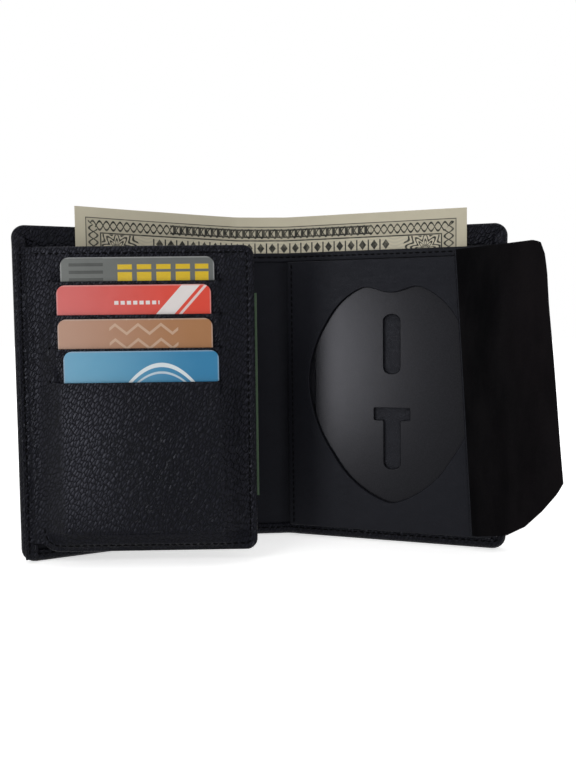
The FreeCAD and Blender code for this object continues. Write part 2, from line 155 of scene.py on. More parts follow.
# a socket that can be reckoned with: | takes the greater of two, & the lesser
class Field:
    def __init__(self, tree, socket):
        self.tree, self.socket = tree, socket

    def reckon(self, kind, other=0.0):
        return self.tree.reckon(kind, self, other)

    def clamped(self):
        self.socket.node.use_clamp = True
        return self

    def remap(self, low, high, toLow=0.0, toHigh=1.0, kind="SMOOTHSTEP"):
        span = {"Value": self, "From Min": low, "From Max": high, "To Min": toLow, "To Max": toHigh}
        made = self.tree.node("ShaderNodeMapRange", span, interpolation_type=kind)
        return Field(self.tree, made.outputs["Result"])

    def __rsub__(self, other):
        return self.tree.reckon("SUBTRACT", other, self)

    __add__ = partialmethod(reckon, "ADD")
    __sub__ = partialmethod(reckon, "SUBTRACT")
    __mul__ = partialmethod(reckon, "MULTIPLY")
    __or__ = partialmethod(reckon, "MAXIMUM")
    __and__ = partialmethod(reckon, "MINIMUM")
    __abs__ = partialmethod(reckon, "ABSOLUTE")


class Tree:
    def __init__(self, tree):
        self.tree = tree

    def feed(self, socket, value):
        if isinstance(value, Field):
            value = value.socket
        if isinstance(value, bpy.types.NodeSocket):
            self.tree.links.new(value, socket)
        else:
            socket.default_value = value

    def node(self, kind, inputs=(), **settings):
        made = self.tree.nodes.new(kind)
        for key, value in settings.items():
            setattr(made, key, value)
        for key, value in dict(inputs).items():
            self.feed(made.inputs[key], value)
        return made

    def reckon(self, kind, *values):
        return Field(self, self.node("ShaderNodeMath", enumerate(values), operation=kind).outputs[0])


class Finish(Tree):
    words = dict(gloss="Specular IOR Level", tint="Specular Tint", rough="Roughness", sheen="Sheen Weight",
                 colour="Base Color", clear="Transmission Weight", bend="IOR")

    def __init__(self, name, **values):
        self.material = bpy.data.materials.new(name)
        self.material.use_nodes = True
        super().__init__(self.material.node_tree)
        self.shader = self.tree.nodes["Principled BSDF"]
        for word, value in values.items():
            self.shader.inputs[self.words[word]].default_value = value
        self.places = self.node("ShaderNodeTexCoord").outputs["Object"]

    def noise(self, scale, detail=3.0, rough=0.55, where=None, output="Fac"):
        grain = {"Vector": where or self.places, "Scale": scale, "Detail": detail, "Roughness": rough}
        return Field(self, self.node("ShaderNodeTexNoise", grain).outputs[output])

    def cells(self, size, kind, randomness, where=None):
        grain = {"Vector": where or self.places, "Scale": 1000.0 / size, "Randomness": randomness}
        return Field(self, self.node("ShaderNodeTexVoronoi", grain, feature=kind).outputs["Distance"])

    def blend(self, factor, first, second):
        made = self.node("ShaderNodeMix", {"Factor": factor}, data_type="RGBA")
        for socket, value in zip((s for s in made.inputs if s.type == "RGBA"), (first, second)):
            self.feed(socket, (*value, 1.0) if isinstance(value, tuple) else value)
        return next(s for s in made.outputs if s.type == "RGBA")

    def mapped(self, scale=(1, 1, 1), rotation=(0, 0, 0), location=(0, 0, 0), kind="POINT"):
        lay = {"Vector": self.places, "Scale": scale, "Rotation": rotation, "Location": location}
        return self.node("ShaderNodeMapping", lay, vector_type=kind).outputs["Vector"]

    def split(self, vector, axes):
        outputs = self.node("ShaderNodeSeparateXYZ", {0: vector}).outputs
        return [Field(self, outputs[axis]) for axis in axes]

    def attribute(self, name, output):
        return Field(self, self.node("ShaderNodeAttribute", attribute_name=name).outputs[output])

    def colour(self, value):
        self.feed(self.shader.inputs["Base Color"], value)

    def shade(self, factor, look):
        return self.blend(factor, look["dark"], look["pale"])

    def rough(self, value):
        self.feed(self.shader.inputs["Roughness"], value)

    def bump(self, height, depth, strength, before=None):
        made = self.node("ShaderNodeBump", {"Height": height, "Distance": depth, "Strength": strength})
        if before:
            self.feed(made.inputs["Normal"], before)
        self.feed(self.shader.inputs["Normal"], made.outputs["Normal"])
        return made.outputs["Normal"]


# finishes
# the third and palest colour below is the colour of the painted highlight
pebbleLook = dict(
    cell=1.2, stretch=(0.82, 3.0, 1.85), lean=30.0, uneven=0.75, drift=0.0006, depth=0.00036,
    dark=(0.0012, 0.0013, 0.0019), pale=(0.0103, 0.0104, 0.0155), paintedHighlight=(0.0290, 0.0295, 0.0385),
    rough=(0.32, 0.42), dull=0.45, gloss=0.09, tint=(0.85, 0.88, 1.0, 1.0),
)


# the point attribute read here is above 0 where a highlight is painted paler onto the leather, below 0 where
# the leather is made rougher and duller
def pebbledLeather(look):
    f = Finish("pebbledLeather", gloss=look["gloss"], tint=look["tint"])
    wander = {0: f.noise(240.0, 2.0, 0.5, output="Color"), "Scale": look["drift"]}
    drift = f.node("ShaderNodeVectorMath", wander, operation="SCALE").outputs[0]
    slanted = f.mapped(look["stretch"], (0.0, math.radians(look["lean"]), 0.0), kind="TEXTURE")
    where = f.node("ShaderNodeVectorMath", {0: slanted, 1: drift}, operation="ADD").outputs[0]
    groove = f.cells(look["cell"], "DISTANCE_TO_EDGE", look["uneven"], where).remap(0.0, 0.15)
    crown = f.cells(look["cell"], "F1", look["uneven"], where).remap(0.05, 0.80, 1.0, 0.60)
    pebble = groove * crown
    wearAndPaintedSheen = f.noise(55.0, 3.0, 0.6)
    paintedHighlightAndDull = f.attribute("paintedHighlightAndDull", "Fac")
    # the pebble crowns are painted paler and the grooves darker: partly the grain's own tone, partly painted
    # shade in the grooves and painted light on the crowns
    body = f.shade((pebble * 0.85 + wearAndPaintedSheen * 0.25).clamped(), look)
    # painted highlight: the pebble tops turn paler where the point attribute is above 0
    f.colour(f.blend((paintedHighlightAndDull * pebble).clamped(), body, look["paintedHighlight"]))
    sheltered = paintedHighlightAndDull.remap(0.0, -1.0, 0.0, look["dull"])
    f.rough(wearAndPaintedSheen.remap(0.3, 0.7, *look["rough"]) + sheltered)
    f.bump(f.noise(5200.0, 2.0) * 0.10 + pebble, look["depth"], 0.9)
    return f.material


smoothLook = dict(
    cell=0.42, depth=0.00005, wave=0.00012, dark=(0.0046, 0.0048, 0.0066), pale=(0.0094, 0.0097, 0.0132),
    rough=(0.40, 0.55), gloss=0.10, tint=(0.85, 0.88, 1.0, 1.0),
)
# a paler copy of the smooth leather for the backing seen in the slots: partly the backing's own paler tone,
# partly painted light where the slots lie in shade
backingLook = dict(smoothLook, cell=0.75, depth=0.00012, dark=(0.0070, 0.0072, 0.0095),
                   pale=(0.0220, 0.0222, 0.0270))


def smoothLeather(look, name="smoothLeather"):
    f = Finish(name, gloss=look["gloss"], tint=look["tint"])
    pore = f.cells(look["cell"], "DISTANCE_TO_EDGE", 1.0).remap(0.0, 0.35)
    cloud = f.noise(70.0, 4.0, 0.6)
    scuff = f.noise(900.0, 3.0, 0.7, f.mapped((0.25, 0.25, 1.0)))
    f.colour(f.shade((cloud * 0.7 + pore * 0.3).clamped(), look))
    f.rough(scuff.remap(0.3, 0.75, *look["rough"]))
    wave = f.bump(f.noise(110.0, 2.0), look["wave"], 0.5)
    f.bump(pore, look["depth"], 0.7, wave)
    return f.material


suedeLook = dict(
    dark=(0.0034, 0.0034, 0.0039), pale=(0.0070, 0.0067, 0.0074), brown=(0.0150, 0.0120, 0.0135),
    streakFrom=0.074, streakTo=0.100, nap=0.00016, gloss=0.01,
)


def napSuede(look):
    f = Finish("napSuede", gloss=look["gloss"], rough=0.95)
    brush = f.noise(120.0, 5.0, 0.65, f.mapped((1.0, 1.0, 0.28), (0.0, 0.15, 0.0)))
    streak = f.noise(34.0, 3.0, 0.6, f.mapped((1.0, 1.0, 0.4), location=(0.02, 0.0, 0.01)))
    body = f.shade(brush.remap(0.32, 0.72), look)
    # the brown streaks grow stronger towards larger x, the flap's free edge
    across = f.split(f.places, "X")[0].remap(look["streakFrom"], look["streakTo"], 0.08, 0.75)
    f.colour(f.blend(streak.remap(0.35, 0.70, 0.25, 1.0) * across, body, look["brown"]))
    f.bump(f.noise(2600.0, 4.0, 0.75), look["nap"], 0.8)
    return f.material


boardLook = dict(dark=(0.0040, 0.0042, 0.0056), pale=(0.0062, 0.0064, 0.0086), rough=(0.25, 0.31),
                 gloss=0.125, tint=(0.92, 0.92, 1.0, 1.0), depth=0.00003)


def insertBoard(look):
    f = Finish("insertBoard", gloss=look["gloss"], tint=look["tint"])
    fleck = f.noise(3000.0, 2.0, 0.7)
    f.colour(f.shade(f.noise(60.0), look))
    f.rough(fleck.remap(0.3, 0.8, *look["rough"]))
    f.bump(fleck * 0.3 + f.noise(180.0, 2.0), look["depth"], 0.6)
    return f.material


clothLook = dict(pitch=0.55, dark=(0.0060, 0.0060, 0.0068), pale=(0.0200, 0.0200, 0.0225), depth=0.00008)


def liningCloth(look):
    f = Finish("liningCloth", gloss=0.15, rough=0.85, sheen=0.1)
    turns = 2 * math.pi / (look["pitch"] * mm)
    warp, weft = [(axis * turns).reckon("SINE") for axis in f.split(f.places, "XZ")]
    weave = (warp * weft).remap(-1.0, 1.0)
    tone = (weave * 0.7 + f.noise(90.0) * 0.4).clamped()
    f.colour(f.shade(tone, look))
    f.bump(weave, look["depth"], 0.8)
    return f.material


filmLook = dict(colour=(0.92, 0.94, 0.94, 1.0), bend=1.45, rough=(0.06, 0.22), ripple=0.00008)


def clearFilm(look):
    f = Finish("clearFilm", colour=look["colour"], clear=1.0, bend=look["bend"])
    f.rough(f.noise(140.0).remap(0.3, 0.7, *look["rough"]))
    f.bump(f.noise(90.0, 2.0), look["ripple"], 0.6)
    return f.material


slipLook = dict(dark=(0.050, 0.085, 0.050), pale=(0.085, 0.130, 0.080), depth=0.00003)


def slipPaper(look):
    f = Finish("slipPaper", gloss=0.2, rough=0.7)
    fibre = f.noise(1500.0, 4.0, 0.7)
    tone = (fibre * 0.6 + f.noise(90.0) * 0.4).clamped()
    f.colour(f.shade(tone, look))
    f.bump(fibre, look["depth"], 0.6)
    return f.material


noteLook = dict(
    wide=155.0, high=66.3, margin=4.0, band=5.4, braidStep=5.2, braidSwing=1.55, braidHalf=0.42, rowStep=1.3,
    petalIn=15.5, petalDrop=15.0, petalReach=9.0, petals=9.0, ringStep=2.0, barDrop=6.6, barHalf=41.0,
    beadStep=2.6, gemDrop=12.4, gemStep=2.3, gemHalf=48.0, clean=(0.70, 0.645, 0.495),
    aged=(0.61, 0.565, 0.435), ink=(0.020, 0.021, 0.020), wash=(0.52, 0.49, 0.40), depth=0.00004,
)


# a plain braid frame, wave lines and petal rounds; 'lay' holds the sheet's own millimetres
def notePaper(look):
    f = Finish("notePaper", gloss=0.2, rough=0.8)
    along, up = f.split(f.attribute("lay", "Vector"), "XY")
    wide, band, within = look["wide"], look["band"], look["margin"] + look["band"]
    fromTop, fromMiddle = look["high"] - up, along - look["wide"] / 2
    sideGap, endGap = along & (wide - along), up & fromTop
    edge = sideGap & endGap
    onSide = sideGap.reckon("LESS_THAN", endGap)
    run = onSide * up + (1.0 - onSide) * along

    def line(distance, half, soft=0.12):
        return abs(distance).remap(half - soft, half + soft, 1.0, 0.0)

    def wave(value, length):
        return (value * (2 * math.pi / length)).reckon("SINE")

    def petals(atAlong):
        dx, dy = along - atAlong, fromTop - look["petalDrop"]
        far = (dx * dx + dy * dy).reckon("SQRT")
        frill = (dy.reckon("ARCTAN2", dx) * look["petals"]).reckon("SINE") * 1.1
        rings = wave(far + frill, look["ringStep"]).remap(-0.1, 0.4)
        return rings * far.remap(look["petalReach"] - 0.5, look["petalReach"], 1.0, 0.0)

    offset = edge - (look["margin"] + band / 2)
    swing = wave(run, look["braidStep"]) * look["braidSwing"]
    braid = line(offset - swing, look["braidHalf"]) | line(offset + swing, look["braidHalf"])
    rails = line(offset + band / 2, 0.16) | line(offset - band / 2, 0.26)
    inside = edge.remap(within, within + 0.6)
    ripple = (along * 0.75).reckon("SINE") * 0.55
    fineRows = wave(up + ripple, look["rowStep"]).remap(-0.2, 0.5, 0.0, 0.5) * inside
    rounds = petals(look["petalIn"]) | petals(wide - look["petalIn"])
    barDrop = fromTop - look["barDrop"]
    gap = wave(along, look["beadStep"]).remap(-0.25, 0.1) * line(barDrop, 1.05)
    bar = line(fromMiddle, look["barHalf"]) * line(barDrop, 1.7) * (1.0 - gap * 0.9)
    across, tall = along.reckon("PINGPONG", look["gemStep"]), abs(fromTop - look["gemDrop"])
    gem = (across * 1.35 + tall).remap(1.75, 2.1, 1.0, 0.0)
    post = across.remap(1.95, 2.1) * tall.remap(1.9, 2.1, 1.0, 0.0)
    row = (gem | post) * line(fromMiddle, look["gemHalf"])
    inked = (braid | 0.18) * line(offset, band / 2, 0.1) | rails | row | rounds * inside | bar
    inked = inked * f.noise(420.0, 4.0, 0.7).remap(0.25, 0.6, 0.76, 0.98)
    paper = f.blend(f.noise(60.0, 4.0, 0.65), look["clean"], look["aged"])
    f.colour(f.blend(inked, f.blend(fineRows, paper, look["wash"]), look["ink"]))
    f.bump(f.noise(1900.0, 4.0, 0.7), look["depth"], 0.6)
    return f.material


cardSet = dict(wide=54.0, gloss=0.35, rough=(0.30, 0.44), rim=0.62, depth=0.00002)
# number, left edge and top on the leaf, then colours
cards = dict(
    grey=dict(number=1, near=11.8, top=109.4, left=(0.130, 0.140, 0.132), right=(0.125, 0.135, 0.130),
              mark=(0.74, 0.50, 0.010), bars=(0.045, 0.050, 0.046)),
    red=dict(number=2, near=10.6, top=99.6, left=(0.70, 0.110, 0.100), right=(0.78, 0.060, 0.030),
             mark=(0.86, 0.80, 0.78)),
    tan=dict(number=3, near=11.1, top=87.7, left=(0.47, 0.255, 0.165), right=(0.41, 0.185, 0.070),
             mark=(0.66, 0.47, 0.34)),
    blue=dict(number=4, near=13.2, top=76.5, left=(0.115, 0.370, 0.560), right=(0.022, 0.215, 0.420),
              mark=(0.78, 0.85, 0.88)),
)


def between(value, low, high, soft=0.12):
    return value.remap(low - soft, low + soft) * value.remap(high - soft, high + soft, 1.0, 0.0)


def zigzag(value, length):
    return value.reckon("PINGPONG", length)


# plain shapes in each card's own millimetres, x from its left and drop from its top
def greyBlocks(x, drop):
    split = zigzag(x + 1.2, 3.4).remap(0.75, 1.0) * between(x, 20.0, 52.0)
    return split * between(drop, 2.6, 9.5) * zigzag(drop + 0.4, 2.6).remap(0.35, 0.6)


def redSweep(x, drop):
    slope = x + drop * 0.9
    dashes = between(drop, 5.6, 6.9) * zigzag(x, 1.1).remap(0.3, 0.45) * between(x, 20.0, 36.0)
    return between(slope, 44.0, 50.5) | between(slope, 52.0, 53.2) * 0.8 | dashes


def tanChevrons(x, drop):
    vee = drop + zigzag(x, 4.0) * 0.8
    return between(zigzag(vee, 2.6), 0.0, 0.55) * between(x, 18.0, 42.0) * 0.75


def blueArch(x, drop):
    hill = drop - ((x - 34.0) * (x - 34.0) * 0.05 + 4.2)
    return (between(hill, 0.0, 1.5) | between(hill, 3.0, 3.8) * 0.7) * between(x, 22.0, 46.0, 0.6)


cardMotifs = dict(grey=greyBlocks, red=redSweep, tan=tanChevrons, blue=blueArch)


def cardPlastic(name, look, values):
    f = Finish("cardPlastic" + name.capitalize(), gloss=values["gloss"])
    spun = Matrix.Rotation(leafTurn, 3, "Z") @ (Vector((*wallet["leafHinge"], 0)) * mm)
    across, rise = f.split(f.mapped(rotation=(0, 0, leafTurn), location=tuple(-spun)), "XZ")
    x, drop = across * 1000.0 - look["near"], look["top"] - rise * 1000.0
    ground = f.blend(x.remap(4.0, 50.0), look["left"], look["right"])
    if "bars" in look:
        ground = f.blend(between(x, 3.0, 15.0) * between(zigzag(drop, 1.3), 0.0, 0.55), ground, look["bars"])
    face = f.blend(cardMotifs[name](x, drop), ground, look["mark"])
    pale = tuple(mix(c, values["rim"], 0.45) for c in look["right"])
    rim = x & (values["wide"] - x) & drop
    f.colour(f.blend(rim.remap(0.25, 0.55, 0.7, 0.0), face, pale))
    scuffed = f.noise(300.0, 4.0, 0.7)
    f.rough(scuffed.remap(0.3, 0.7, *values["rough"]))
    f.bump(scuffed, values["depth"], 0.5)
    return f.material


threadLook = dict(dark=(0.0010, 0.0010, 0.0013), pale=(0.0040, 0.0040, 0.0050), gloss=0.03, depth=0.00006)


def waxedThread(look):
    f = Finish("waxedThread", gloss=look["gloss"], rough=0.6)
    twist = f.noise(4200.0, 2.0)
    f.colour(f.shade(twist, look))
    f.bump(twist, look["depth"], 0.8)
    return f.material


pebbled = pebbledLeather(pebbleLook)
smooth = smoothLeather(smoothLook)
backed = smoothLeather(backingLook, "backingLeather")
suede = napSuede(suedeLook)
board = insertBoard(boardLook)
lining = liningCloth(clothLook)
film = clearFilm(filmLook)
slipSheet = slipPaper(slipLook)
noteSheet = notePaper(noteLook)
thread = waxedThread(threadLook)
print("finishes mixed")


# mesh helpers
def makePiece(name, points, faces, finish, sharp=40.0, lay=None, paintedHighlightAndDull=None, flatAlong=None):
    mesh = bpy.data.meshes.new(name)
    mesh.from_pydata([tuple(p) for p in points], [], faces)
    if lay:
        marks = mesh.attributes.new("lay", "FLOAT_VECTOR", "POINT")
        marks.data.foreach_set("vector", [c for a, b in lay for c in (a, b, 0.0)])
    if paintedHighlightAndDull:
        mesh.attributes.new("paintedHighlightAndDull", "FLOAT", "POINT").data.foreach_set("value", paintedHighlightAndDull)
    shape = bmesh.new()
    shape.from_mesh(mesh)
    bmesh.ops.remove_doubles(shape, verts=shape.verts, dist=2e-6)
    bmesh.ops.dissolve_degenerate(shape, dist=1e-7, edges=shape.edges)
    rim = [e for e in shape.edges if e.is_boundary]
    if rim:
        bmesh.ops.holes_fill(shape, edges=rim, sides=0)
    bmesh.ops.recalc_face_normals(shape, faces=shape.faces)
    for face in shape.faces:
        face.smooth = flatAlong is None or abs(face.normal.dot(flatAlong)) < 0.9995
    for e in shape.edges:
        if len(e.link_faces) == 2:
            e.smooth = e.calc_face_angle(0.0) < math.radians(sharp)
    shape.to_mesh(mesh)
    shape.free()
    mesh.materials.append(finish)
    return addObject(name, mesh)


# hides the CAD parts a piece stands for and attaches it to the body it rides on
def declare(piece, nodes=(), body=None):
    if nodes:
        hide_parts(*nodes)
    if body:
        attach(piece, body)
    return piece


def gridFaces(rows, columns, first=0):
    faces = []
    for r in range(rows - 1):
        for c in range(columns - 1):
            a = first + r * columns + c
            faces.append((a, a + 1, a + columns + 1, a + columns))
    return faces


# faces between two rows of point numbers
def bandFaces(first, second, flip=False):
    spans = zip(first, first[1:], second, second[1:])
    return [(a, c, d, b) if flip else (a, b, d, c) for a, b, c, d in spans]


# two matching grids of points, sewn shut round their rim
def closedSheet(front, back):
    rows, columns = len(front), len(front[0])
    size = rows * columns
    points = [p for row in front + back for p in row]
    faces = gridFaces(rows, columns) + [f[::-1] for f in gridFaces(rows, columns, size)]
    ring = (
        list(range(columns))
        + [r * columns + columns - 1 for r in range(1, rows)]
        + [(rows - 1) * columns + c for c in range(columns - 2, -1, -1)]
        + [r * columns for r in range(rows - 2, 0, -1)]
    )
    return points, faces + [(b, a, a + size, b + size) for a, b in zip(ring, ring[1:] + ring[:1])]


# closed outlines carried along a row of stations, ends filled
def sweptLoop(stations):
    count = len(stations[0])
    points = [p for loop in stations for p in loop]
    faces = []
    for k in range(len(stations) - 1):
        near = [k * count + i for i in (*range(count), 0)]
        faces += bandFaces(near, [i + count for i in near])
    return points, faces


def polyCurve(name, dimensions, paths, closed=False):
    data = bpy.data.curves.new(name, "CURVE")
    data.dimensions = dimensions
    for path in paths:
        spline = data.splines.new("POLY")
        spline.points.add(len(path) - 1)
        spline.use_cyclic_u = closed
        for point, at in zip(spline.points, path):
            point.co = (*at, 1.0)
    return data


# what a curve object shows, as a plain mesh; the curve and its holder go
def plainMesh(holder):
    depsgraph = bpy.context.evaluated_depsgraph_get()
    mesh = bpy.data.meshes.new_from_object(holder.evaluated_get(depsgraph))
    curve = holder.data
    bpy.data.objects.remove(holder)
    bpy.data.curves.remove(curve)
    return mesh


def foldColumns(reach, step=6.0):
    marks = [0, 2.5, 4.5, 5.6, 6.6, 7.5, 8.4, 9.2, 10, 10.8, 11.6, 12.5, 13.4, 14.4, 16, 18.5]
    return marks + spread(marks[-1], reach, step)[1:]


def foldBlend(piece, side, inner, outer):
    at, soft, z = wallet["foldAt"], wallet["softFold"], wallet["midHeight"]
    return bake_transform(piece, inner, outer, start=coverPoint(side, at - soft, 0, z),
                    end=coverPoint(side, at + soft, 0, z))


# the left piece of a pair also stands for the middle
def halfNodes(side, tag, *stems, middle="spine"):
    tags = (tag, middle) if side < 0 else (tag,)
    return [f"{stem}_{t}" for t in tags for stem in stems]


# outer cover with its turned edge
coverCut = dict(
    reachLeft=96.5, reachRight=96.0, high=121.5, corner=5.0, flatFrom=3.6, back=-2.6, thick=1.2,
    lipFront=1.3, lipWide=4.5, lipThick=0.95, topFront=-1.1, topWide=7.8, topThick=0.28, turnWide=4.8,
    wrapFrom=113.0, wrapTo=121.0, pleat=0.30, pleats=16, rowsTo=108.0,
    turnAt=(110.0, 111.5, 112.6, 113.4, 114.2, 115.0, 115.8),
)


# one section through the edge: in from the rim, then depth
def coverSection(cut, lipFront, lipWide, lipThick, pucker):
    back, inner, under = cut["back"], cut["back"] + cut["thick"], lipFront - lipThick
    radius, centre = (lipFront - back) / 2, (lipFront + back) / 2
    half, mid = (under - inner) / 2, (under + inner) / 2
    deep = min(half, radius - 0.45)
    roll = [(radius - x, n) for x, n in arc(0.0, centre, radius, -90, 90, 8)]
    lip = [
        (mix(radius, lipWide, 0.35), lipFront + pucker * 0.6), (mix(radius, lipWide, 0.7), lipFront + pucker),
        (lipWide - 0.3, lipFront + pucker * 0.5), (lipWide - 0.08, lipFront - lipThick * 0.25),
        (lipWide, lipFront - lipThick * 0.6), (lipWide, under),
    ]
    hollow = [(radius + 0.15 - x, n) for x, n in arc(0.0, mid, deep, 90, -90, 4, half / deep)]
    return ([(cut["corner"], back), (cut["flatFrom"], back)] + roll + lip + hollow
            + [(cut["flatFrom"], inner), (cut["corner"], inner)])


def makeCover(word, side, cut):
    r, reach, high = cut["corner"], cut["reach" + word], cut["high"]
    columns = foldColumns(reach - r)
    rows = spread(r, cut["rowsTo"], 6.0) + [*cut["turnAt"], high - r]

    def section(z, wide=None, pucker=0.0):
        t = ease(z, cut["wrapFrom"], cut["wrapTo"])
        if wide is None:
            wide = mix(cut["lipWide"], cut["turnWide"], t)
        front, thick = (mix(cut["lip" + way], cut["top" + way], t) for way in ("Front", "Thick"))
        return coverSection(cut, front, wide, thick, pucker)

    stations = [((u, 0.0), (u, r), section(0.0)) for u in columns]
    stations += [(at, (reach - r, r), section(0.0)) for at in arc(reach - r, r, r, -75, -15, 4)]
    stations += [((reach, z), (reach - r, z), section(z)) for z in rows]
    for step, at in enumerate(arc(reach - r, high - r, r, 3, 87, 28), 1):
        a = math.radians(3 * step)
        pucker = cut["pleat"] * math.sin(2 * a) * (0.5 + 0.5 * math.sin(cut["pleats"] * a))
        stations.append((at, (reach - r, high - r), section(high - r + a * r, cut["turnWide"], pucker)))
    for u in reversed(columns):
        wide = mix(cut["turnWide"], cut["topWide"], ease(reach - r - u, -0.1, 7.0))
        stations.append(((u, high), (u, high - r), section(high, wide)))
    points = [coverPoint(side, mix(eu, qu, e / r), n, mix(ez, qz, e / r))
              for (eu, ez), (qu, qz), loop in stations for e, n in loop]
    faces = gridFaces(len(stations), len(points) // len(stations))
    for n in (cut["back"], cut["back"] + cut["thick"]):
        faces += gridFaces(len(rows), len(columns), len(points))
        points += [coverPoint(side, u, n, z) for z in rows for u in columns]
    return makePiece("cover" + word, points, faces, pebbled)


for word, side, body, tag in sides:
    cover = makeCover(word, side, coverCut)
    declare(cover, halfNodes(side, tag, "cover", "turned_edge"))
    foldBlend(cover, side, "spine", body)
print("covers cut")

# cloth lining and the divider of the note pocket
liningCut = dict(reach=94.6, low=0.7, top=113.6, front=-1.12, back=-1.36)
dividerCut = dict(reach=94.4, low=0.6, top=113.2, half=0.3, hemFront=0.9, hemLow=109.7, hemSewn=111.55)


# the lowest height at u that stays inside the cover's round corner
def roundLow(u, low):
    r = coverCut["corner"]
    out = max(u - (coverCut["reachRight"] - r), 0.0)
    return max(low, r - math.sqrt((r - low) ** 2 - out ** 2))


def cornerColumns(reach):
    return foldColumns(reach - 4.0) + [reach - d for d in (3.0, 2.2, 1.5, 0.9, 0.4, 0.0)]


def makeLining(word, side, cut):
    columns = [(u, roundLow(u, cut["low"])) for u in cornerColumns(cut["reach"])]
    shares = spread(0.0, 1.0, 0.07)
    front, back = ([[coverPoint(side, u, n, mix(foot, cut["top"], t)) for u, foot in columns] for t in shares]
                   for n in (cut["front"], cut["back"]))
    return makePiece("lining" + word, *closedSheet(front, back), lining)


def dividerSection(cut, u):
    half, hem, low, sewn = cut["half"], cut["hemFront"], cut["hemLow"], cut["hemSewn"]
    foot = roundLow(u, cut["low"])
    roll = (hem + half) / 2
    ridge = cut["top"] - roll
    shares = spread(0.0, 1.0, 0.125)
    return ([(-half, mix(foot, ridge, t)) for t in shares]
            + arc((hem - half) / 2, ridge, roll, 157.5, 22.5, 6)
            + [(hem, ridge), (hem, sewn + 0.35), (hem - 0.12, sewn), (hem, sewn - 0.35), (hem, low + 0.25),
               (hem - 0.2, low + 0.04), (half + 0.05, low), (half, low - 0.2)]
            + [(half, mix(low - 4.0, foot, t)) for t in shares])


for word, side, body, tag in sides:
    cloth = declare(makeLining(word, side, liningCut), halfNodes(side, tag, "lining"))
    foldBlend(cloth, side, "spine", body)
    loops = [[coverPoint(side, u, n, z) for n, z in dividerSection(dividerCut, u)]
             for u in cornerColumns(dividerCut["reach"])]
    divider = makePiece("divider" + word, *sweptLoop(loops), smooth)
    declare(divider, halfNodes(side, tag, "divider"))
    foldBlend(divider, side, "spine", body)
print("linings and dividers laid")

# the note in the long pocket
noteCut = dict(left=73.8, right=81.2, low=61.3, top=127.4, front=-0.62, back=-0.78, leftRise=1.6,
               rightRise=0.2, riseBend=1.3, wave=0.10, waveTurn=0.21, waveFrom=(100, 127))


def makeNote(word, side, reach, rise, cut):
    columns, rows = foldColumns(reach), spread(cut["low"], cut["top"], 5.0)

    def layer(n):
        def ripple(u, z):
            return cut["wave"] * math.sin(u * cut["waveTurn"]) * ease(z, *cut["waveFrom"])

        return [[coverPoint(side, u, n + ripple(u, z), z + rise * (u / reach) ** cut["riseBend"])
                 for u in columns] for z in rows]

    marks = [(cut["left"] + side * u, z - cut["low"]) for z in rows for u in columns]
    sheet = closedSheet(layer(cut["front"]), layer(cut["back"]))
    return makePiece("note" + word, *sheet, noteSheet, lay=marks + marks)


for word, side, _, tag in sides:
    note = makeNote(word, side, noteCut[tag], noteCut[tag + "Rise"], noteCut)
    declare(note, halfNodes(side, tag, "note", middle="mid"))
    foldBlend(note, side, "note_mid", f"note_{tag}")
print("note laid in")

# badge holder; rectangles are left, low, right, top, corner; shield points across, up, next arc's radius
badgeCut = dict(
    outline=(1.2, 4.7, 81.3, 109.5, 0.8), window=(9.5, 13.0, 78.0, 101.5, 0.5),
    insert=(12.4, 13.2, 77.8, 101.3, 0.6), back=0.3, seat=1.1, plate=2.5, face=4.3, apart=0.02,
    axis=43.3, shield=((0.0, 15.5, 37.7), (23.0, 33.8, 52.0), (32.9, 63.1, 44.2), (25.2, 86.2, 27.2),
                       (10.6, 99.0, 15.3), (0.0, 96.5, 0.0)),
    slotHalf=3.25, slotLow=68.1, slotTop=85.9, slotSquash=0.78, stemLow=31.2, stemRound=0.4,
    barLow=47.7, barTop=52.5, barHalf=7.05, barRound=0.35,
)


# points along an arc of this radius from a to b, without b
def arcRun(a, b, radius, step=0.9):
    (ax, az, _), (bx, bz, _) = a, b
    dx, dz = bx - ax, bz - az
    chord = math.hypot(dx, dz)
    inset = math.sqrt(radius * radius - chord * chord / 4)
    cx, cz = (ax + bx) / 2 - dz / chord * inset, (az + bz) / 2 + dx / chord * inset
    start, end = math.atan2(az - cz, ax - cx), math.atan2(bz - cz, bx - cx)
    while end < start:
        end += 2 * math.pi
    count = max(3, math.ceil(radius * (end - start) / step))
    return arc(cx, cz, radius, math.degrees(start), math.degrees(end), count)[:-1]


def relaxed(loop, rounds):
    for _ in range(rounds):
        loop = [((a[0] + 2 * b[0] + c[0]) / 4, (a[1] + 2 * b[1] + c[1]) / 4)
                for a, b, c in zip(loop[-1:] + loop[:-1], loop, loop[1:] + loop[:1])]
    return loop


def shieldLoop(cut):
    half = []
    for a, b in zip(cut["shield"], cut["shield"][1:-1]):
        half += arcRun(a, b, a[2])
    (x1, z1, _), (_, z0, _) = cut["shield"][-2:]  # the soft dip between the two shoulders
    half += [(x, z0 + (z1 - z0) * (0.5 - 0.5 * math.cos(math.pi * x / x1))) for x in spread(x1, 0.0, 0.9)]
    mirrored = [(-x, z) for x, z in half[-2:0:-1]]
    return [(cut["axis"] + x, z) for x, z in relaxed(half + mirrored, 6)]


def rectLoop(left, low, right, top, r):
    corners = ((right - r, low + r), (right - r, top - r), (left + r, top - r), (left + r, low + r))
    return [at for k, (x, z) in enumerate(corners) for at in arc(x, z, r, 90 * k - 90, 90 * k, 5)]


